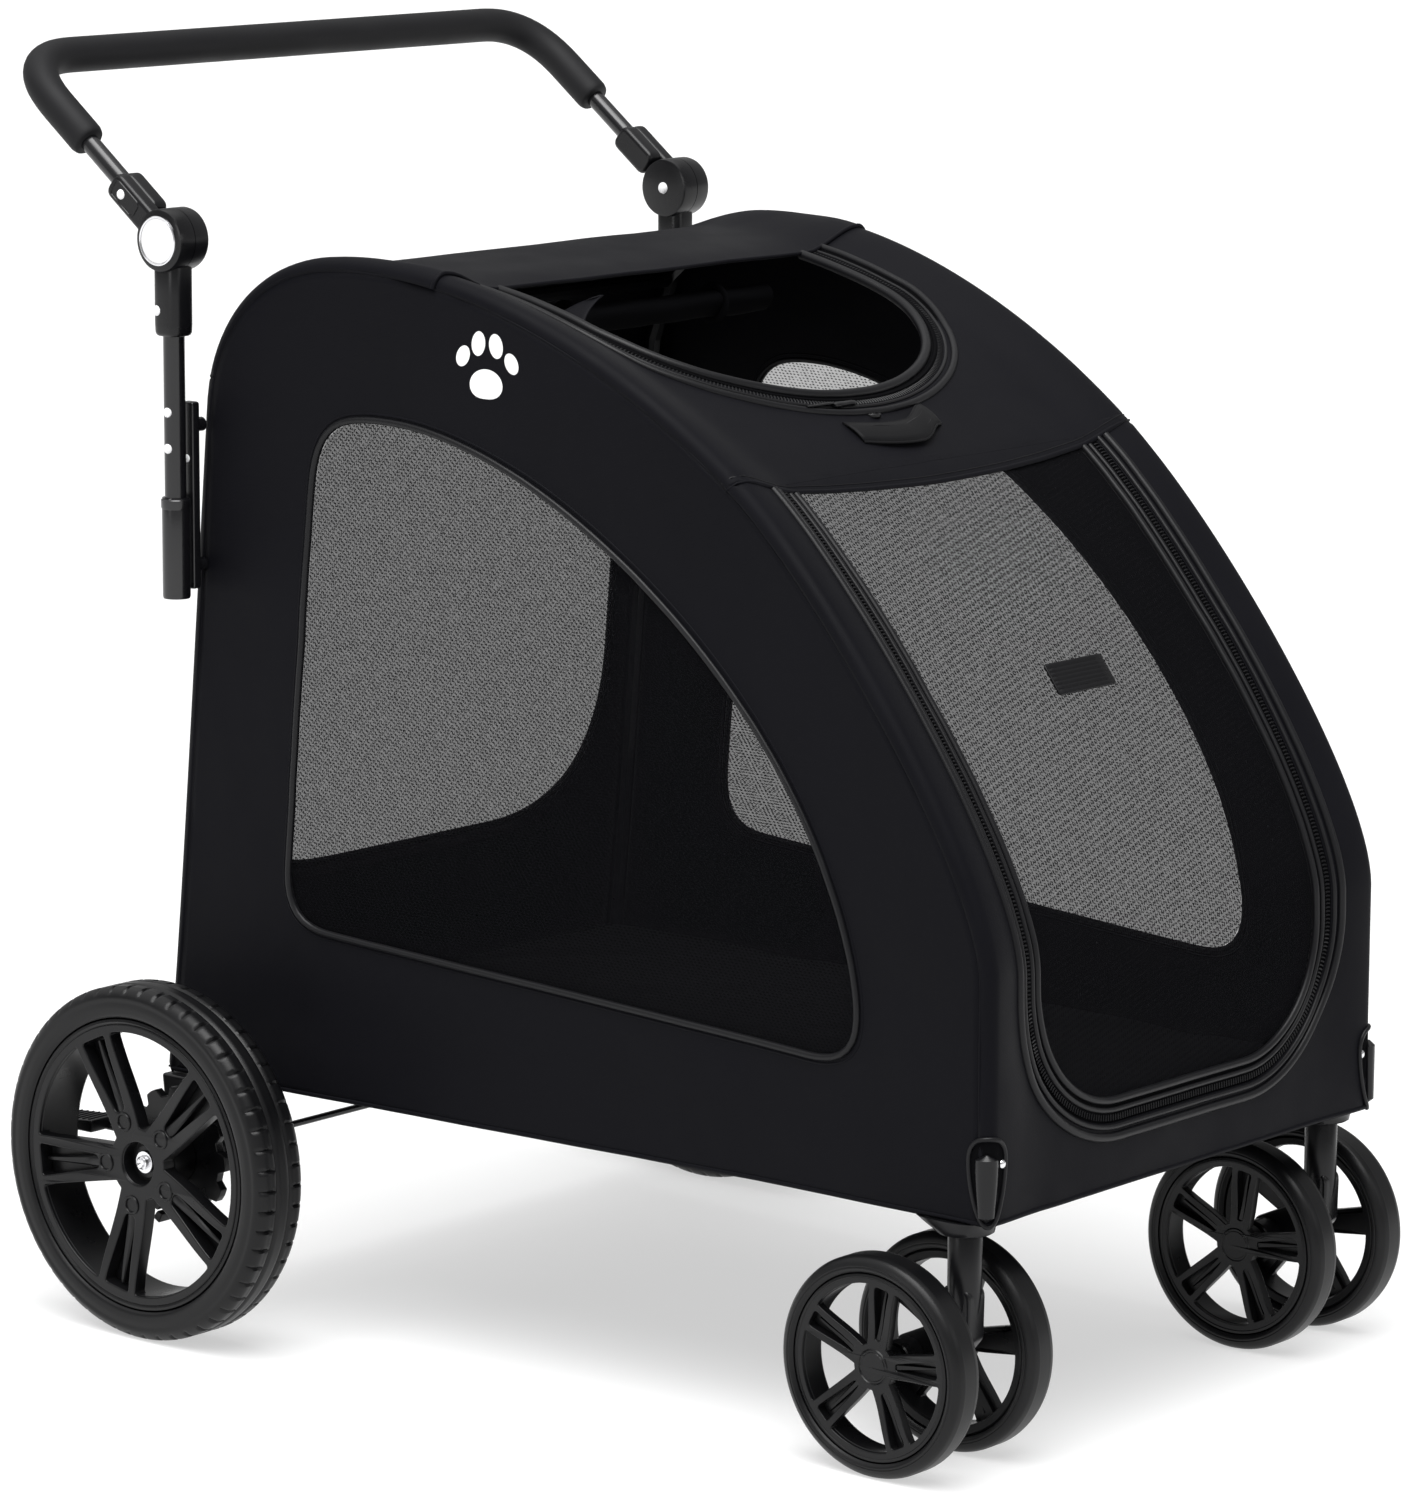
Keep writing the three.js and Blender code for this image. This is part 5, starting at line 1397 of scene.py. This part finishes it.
def brake_parts():
    px, pz = -38, AXLE_Z - 14
    link = [(px, y, pz) for y in np.linspace(-310, 310, 30)]
    tube("brake_link", link, 3, "brake", "paint", ["brake_rod"], sides=20)
    lever = rounded([(px + 9, pz + 8), (px + 12, pz - 6), (-19.5, 93), (-24, 86), (-31, 90),
                     (px - 12, pz - 7), (px - 40, pz + 11), (px - 112, pz + 12), (px - 112, pz + 18),
                     (px - 40, pz + 22), (px - 8, pz + 10)], [6, 5, 3, 2, 3, 12, 16, 2, 2, 16, 6], 5)
    pad = rounded([(px - 72, pz + 12.5), (px - 118, pz + 12), (px - 120, pz + 20), (px - 72, pz + 23.5)], 2.5,
                  4)
    pawl = rounded([(-19.5, 94), (-23.5, 86), (-30.5, 90), (-25, 96.5)], 1, 3)
    for name, side in SIDES:
        parts = [plate_xz([lever], side * 296.6, side * 310.2, 1.8, 3),
                 plate_xz([pad], side * 296.6, side * 330, 1.8, 3)]
        for k in range(6):
            x, z = px - 78 - 7 * k, pz + 23 - 0.5 * k
            parts.append(sweep([(x, side * 300, z), (x, side * 327, z)], 1.1, 6))
        parts.append(plate_xz([pawl], side * 309, side * 337.5, 0.6, 2))
        joined(f"brake_lever_{name}", parts, "brake", "plastic", [f"brake_pedal_{name}"])


# ---------------------------------------------------------------- inside
def rolled_flap():
    """The hatch netting rolled up under its rear edge and tied with two straps."""
    roll_x, roll_z, half = 220, 846, 168
    verts = []
    ys = np.linspace(-half, half, 60)
    count = 28
    for y in ys:
        end = min(1, (half - abs(y)) / 6 + 0.3)
        for k in range(count):
            a = 2 * math.pi * k / count
            lumps = 1.6 * noise.noise(Vector((y * 0.02, math.cos(a), math.sin(a)))) + 0.8 * math.sin(a * 3)
            r = (11.5 + lumps) * end
            verts.append((roll_x + r * math.cos(a), y, roll_z + r * math.sin(a)))
    piece("rolled_hatch_net", verts, capped_faces(len(ys), count), "frame", "shade_and_tape", ["hatch_flap_roll"])
    for k, y in enumerate((-95, 95)):
        loop = [(x, y, z) for x, z in circle(roll_x, roll_z, 14, 24)]
        tube(f"flap_tie_{k}", loop, 4.0, "frame", "shade_and_tape", closed=True, sides=8, flat=0.35)


def floor_cushion():
    """The padded mat: a soft slab swollen by cloth simulation, then quilted."""
    low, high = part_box("floor_mat")
    inset = 0.006
    columns, rows = 44, 30
    rear_half, front_half = (REAR_HALF - 32) * MM, (FRONT_HALF - 31) * MM

    def edge_half(t):
        return rear_half + (front_half - rear_half) * t - inset

    verts = []
    for level in (low.z + 0.002, high.z - 0.007):
        for j in range(rows + 1):
            for i in range(columns + 1):
                t = i / columns
                x = low.x + inset + (high.x - low.x - 2 * inset) * t
                verts.append((x, edge_half(t) * (2 * j / rows - 1), level))
    count = (rows + 1) * (columns + 1)
    faces = []
    for j in range(rows):
        for i in range(columns):
            a = j * (columns + 1) + i
            faces.append((a, a + columns + 1, a + columns + 2, a + 1))
            faces.append((count + a, count + a + 1, count + a + columns + 2, count + a + columns + 1))
    rim = list(range(columns + 1)) + [j * (columns + 1) + columns for j in range(1, rows + 1)]
    rim += [rows * (columns + 1) + i for i in range(columns - 1, -1, -1)]
    rim += [j * (columns + 1) for j in range(rows - 1, 0, -1)]
    for k, a in enumerate(rim):
        b = rim[(k + 1) % len(rim)]
        faces.append((a, b, count + b, count + a))
    uvs = [(v[0] / MM, v[1] / MM) for v in verts]
    mat = piece("floor_cushion", verts, faces, "frame", "fleece", ["floor_mat"], uvs, sharp=180, metres=True)
    bottom = mat.vertex_groups.new(name="bottom")
    bottom.add(list(range(count)), 1.0, "REPLACE")
    swell(mat, bottom.name, frames=12, pressure=0.17, cap=0.006)
    quilt(mat, low, high)
    mat.modifiers.new("fine", "SUBSURF").render_levels = 1


def swell(made, pinned, frames, pressure, cap):
    """Inflates a closed cloth piece a little by simulation and keeps the result."""
    mesh = made.data
    start = np.empty(len(mesh.vertices) * 3)
    mesh.vertices.foreach_get("co", start)
    cloth = made.modifiers.new("cloth", "CLOTH")
    cloth.settings.use_pressure = True
    cloth.settings.uniform_pressure_force = pressure
    cloth.settings.vertex_group_mass = pinned
    cloth.settings.effector_weights.gravity = 0
    cloth.settings.quality = 5
    cloth.point_cache.frame_end = frames + 1
    scene = bpy.context.scene
    for number in range(1, frames + 1):
        scene.frame_set(number)
    result = made.evaluated_get(bpy.context.evaluated_depsgraph_get())
    moved = np.empty(len(start))
    result.data.vertices.foreach_get("co", moved)
    shift = (moved - start).reshape(-1, 3)
    length = np.linalg.norm(shift, axis=1)[:, None]
    shift *= np.minimum(1, cap / np.maximum(length, 1e-9))
    made.modifiers.remove(cloth)
    mesh.vertices.foreach_set("co", start + shift.ravel())
    scene.frame_set(1)


def quilt(made, low, high):
    """Presses shallow stitched channels into the top face and keeps it inside its space."""
    for vertex in made.data.vertices:
        if vertex.co.z > (low.z + high.z) / 2:
            u = (vertex.co.x - low.x) / 0.11
            v = vertex.co.y / 0.11
            press = min(abs(math.sin(math.pi * (u + v) / 2)), abs(math.sin(math.pi * (u - v) / 2)))
            vertex.co.z -= 0.0045 * (1 - min(1, press / 0.25))
        vertex.co.z = min(max(vertex.co.z, low.z), high.z - 0.0005)


def bottom_cloth():
    """The coated cloth that closes the cabin below the board, out to the walls."""
    xs = np.linspace(REAR_X + 3, FRONT_X - 3, 40)
    shares = np.linspace(-1, 1, 28)
    verts = [(x, (half_width(x) - 2) * t, BOTTOM_Z + 2.5 + 0.6 * noise.noise(Vector((x * 0.02, t * 5, 1))))
             for x in xs for t in shares]
    uvs = [(x, (half_width(x) - 2) * t) for x in xs for t in shares]
    made = piece("bottom_cloth", verts, grid_faces(len(xs), len(shares)), "frame", "fabric", ["bottom_panel"],
                 uvs)
    thicken(made, 1.4)
    outline = [(x, half_width(x) - 2) for x in xs] + [(x, 2 - half_width(x)) for x in xs[::-1]]
    declare(outline)


def loose_tip():
    """The loose cloth tip that stands up inside the near edge of the hatch."""
    rows = 9
    verts, uvs = [], []
    for k in range(rows):
        t = k / (rows - 1)
        width = 17 * (1 - t) ** 0.8 + 0.6
        base = wrap(HATCH_MIDDLE - 34 + 15 * t * t, -170 + 26 * t, 0)
        for share in (-1, -0.5, 0, 0.5, 1):
            verts.append((base[0] + width * share, base[1] - 3 * share * share, base[2] - 12 + 26 * t))
            uvs.append((width * share, 30 * t))
    made = piece("loose_tip", verts, grid_faces(rows, 5), "frame", "fabric", uvs=uvs, sharp=60)
    thicken(made, 1.2)


def paw_print():
    """A plain white paw print on the near side panel: one pad and four toes."""
    shapes = [(292, 815, 17, 13, 0.0), (268, 837, 6.5, 9, 0.5), (284, 848, 7, 10, 0.15),
              (302, 847, 7, 10, -0.2), (318, 834, 6.5, 9, -0.55)]
    for k, (cx, cz, a, b, lean) in enumerate(shapes):
        outline = []
        for t in np.linspace(0, 2 * math.pi, 40, endpoint=False):
            notch = 1 - 0.16 * max(0, -math.sin(t)) ** 4 if k == 0 else 1.0
            u, v = a * notch * math.cos(t), b * notch * math.sin(t)
            outline.append((cx + u * math.cos(lean) + v * math.sin(lean),
                            cz - u * math.sin(lean) + v * math.cos(lean)))
        disc_sheet(f"paw_{k}", outline, (cx, cz), lambda x, z: side_point(-1, x, z, 1.0), "frame", "print",
                   rings=4)


def hidden_metal():
    """The remaining CAD pieces keep their shape and get their finish."""
    looks = {"base_": "paint", "side_hoop": "paint", "top_cross": "paint", "floor_board": "board"}
    for name, made in NODES.items():
        for prefix, look in looks.items():
            if name.startswith(prefix):
                made.data.materials.clear()
                made.data.materials.append(MAT[look])


# ---------------------------------------------------------------- stage
def add_light(name, kind, power, direction, place=(0, 0, 0)):
    light = bpy.data.lights.new(name, kind)
    light.energy = power
    holder = bpy.data.objects.new(name, light)
    bpy.context.scene.collection.objects.link(holder)
    holder.location = place
    holder.rotation_euler = direction.to_track_quat("-Z", "Y").to_euler()
    return light


def stage():
    mat, _, shader = new_material("studio_floor")
    shader.inputs["Base Color"].default_value = (0.45, 0.45, 0.45, 1)
    shader.inputs["Emission Color"].default_value = (1, 1, 1, 1)
    shader.inputs["Emission Strength"].default_value = 0.55
    shader.inputs["Roughness"].default_value = 0.9
    shader.inputs["Specular IOR Level"].default_value = 0.0
    mesh = bpy.data.meshes.new("floor")
    r = 300
    mesh.from_pydata([(-r, -r, 0), (r, -r, 0), (r, r, 0), (-r, r, 0)], [], [(0, 1, 2, 3)])
    mesh.materials.append(mat)
    floor = bpy.data.objects.new("floor", mesh)
    bpy.context.scene.collection.objects.link(floor)
    world = bpy.data.worlds.new("studio")
    bpy.context.scene.world = world
    world.use_nodes = True
    world.node_tree.nodes["Background"].inputs["Color"].default_value = (1, 1, 1, 1)
    world.node_tree.nodes["Background"].inputs["Strength"].default_value = 0.4
    bpy.context.scene.view_settings.view_transform = "Standard"
    suns = [("key_sun", (-0.25, 0.35, -1.0), 2.6, 50), ("fill_sun", (0.3, 0.1, -1.0), 1.0, 90)]
    for name, direction, power, angle in suns:
        add_light(name, "SUN", power, Vector(direction)).angle = math.radians(angle)
    areas = [("top", (0.4, -0.8, 3.0), (0.1, 0, 0.6), 26, 1.6),
             ("front", (3.2, 0.6, 1.6), (0.2, 0, 0.5), 6, 1.0),
             ("side", (-0.6, -3.4, 1.4), (0, 0, 0.4), 10, 0.9)]
    for name, place, target, power, size in areas:
        add_light(name, "AREA", power, Vector(target) - Vector(place), place).size = size


def camera():
    """The photograph's camera, as fitted to the wheels, corners and handle."""
    azimuth, elevation, roll = (math.radians(a) for a in (39.89, 10.35, 0.19))
    level = math.cos(elevation)
    back = Vector((math.sin(azimuth) * level, -math.cos(azimuth) * level, math.sin(elevation)))
    right = Vector((math.cos(azimuth), math.sin(azimuth), 0))
    up = back.cross(right)
    tilted = right * math.cos(roll) + up * math.sin(roll)
    up = back.cross(tilted)
    lens = bpy.data.cameras.new("camera")
    holder = bpy.data.objects.new("camera", lens)
    bpy.context.scene.collection.objects.link(holder)
    holder.matrix_world = Matrix((tilted, up, back)).transposed().to_4x4()
    holder.location = at(3612.56, -3996.18, 1425.17)
    lens.sensor_width = 36
    lens.lens = 150.9576
    lens.shift_x = 0.0133
    lens.shift_y = 0.0045
    lens.clip_end = 1000
    bpy.context.scene.camera = holder


camera()
stage()
side_panels()
back_panels()
hatch_panel()
hatch_zip()
front_panel()
door()
snap_tab()
door_patch()
rear_wheels()
casters()
handle_bar()
hinges()
uprights()
front_corners()
rear_legs()
brake_parts()
rolled_flap()
floor_cushion()
bottom_cloth()
loose_tip()
paw_print()
hidden_metal()
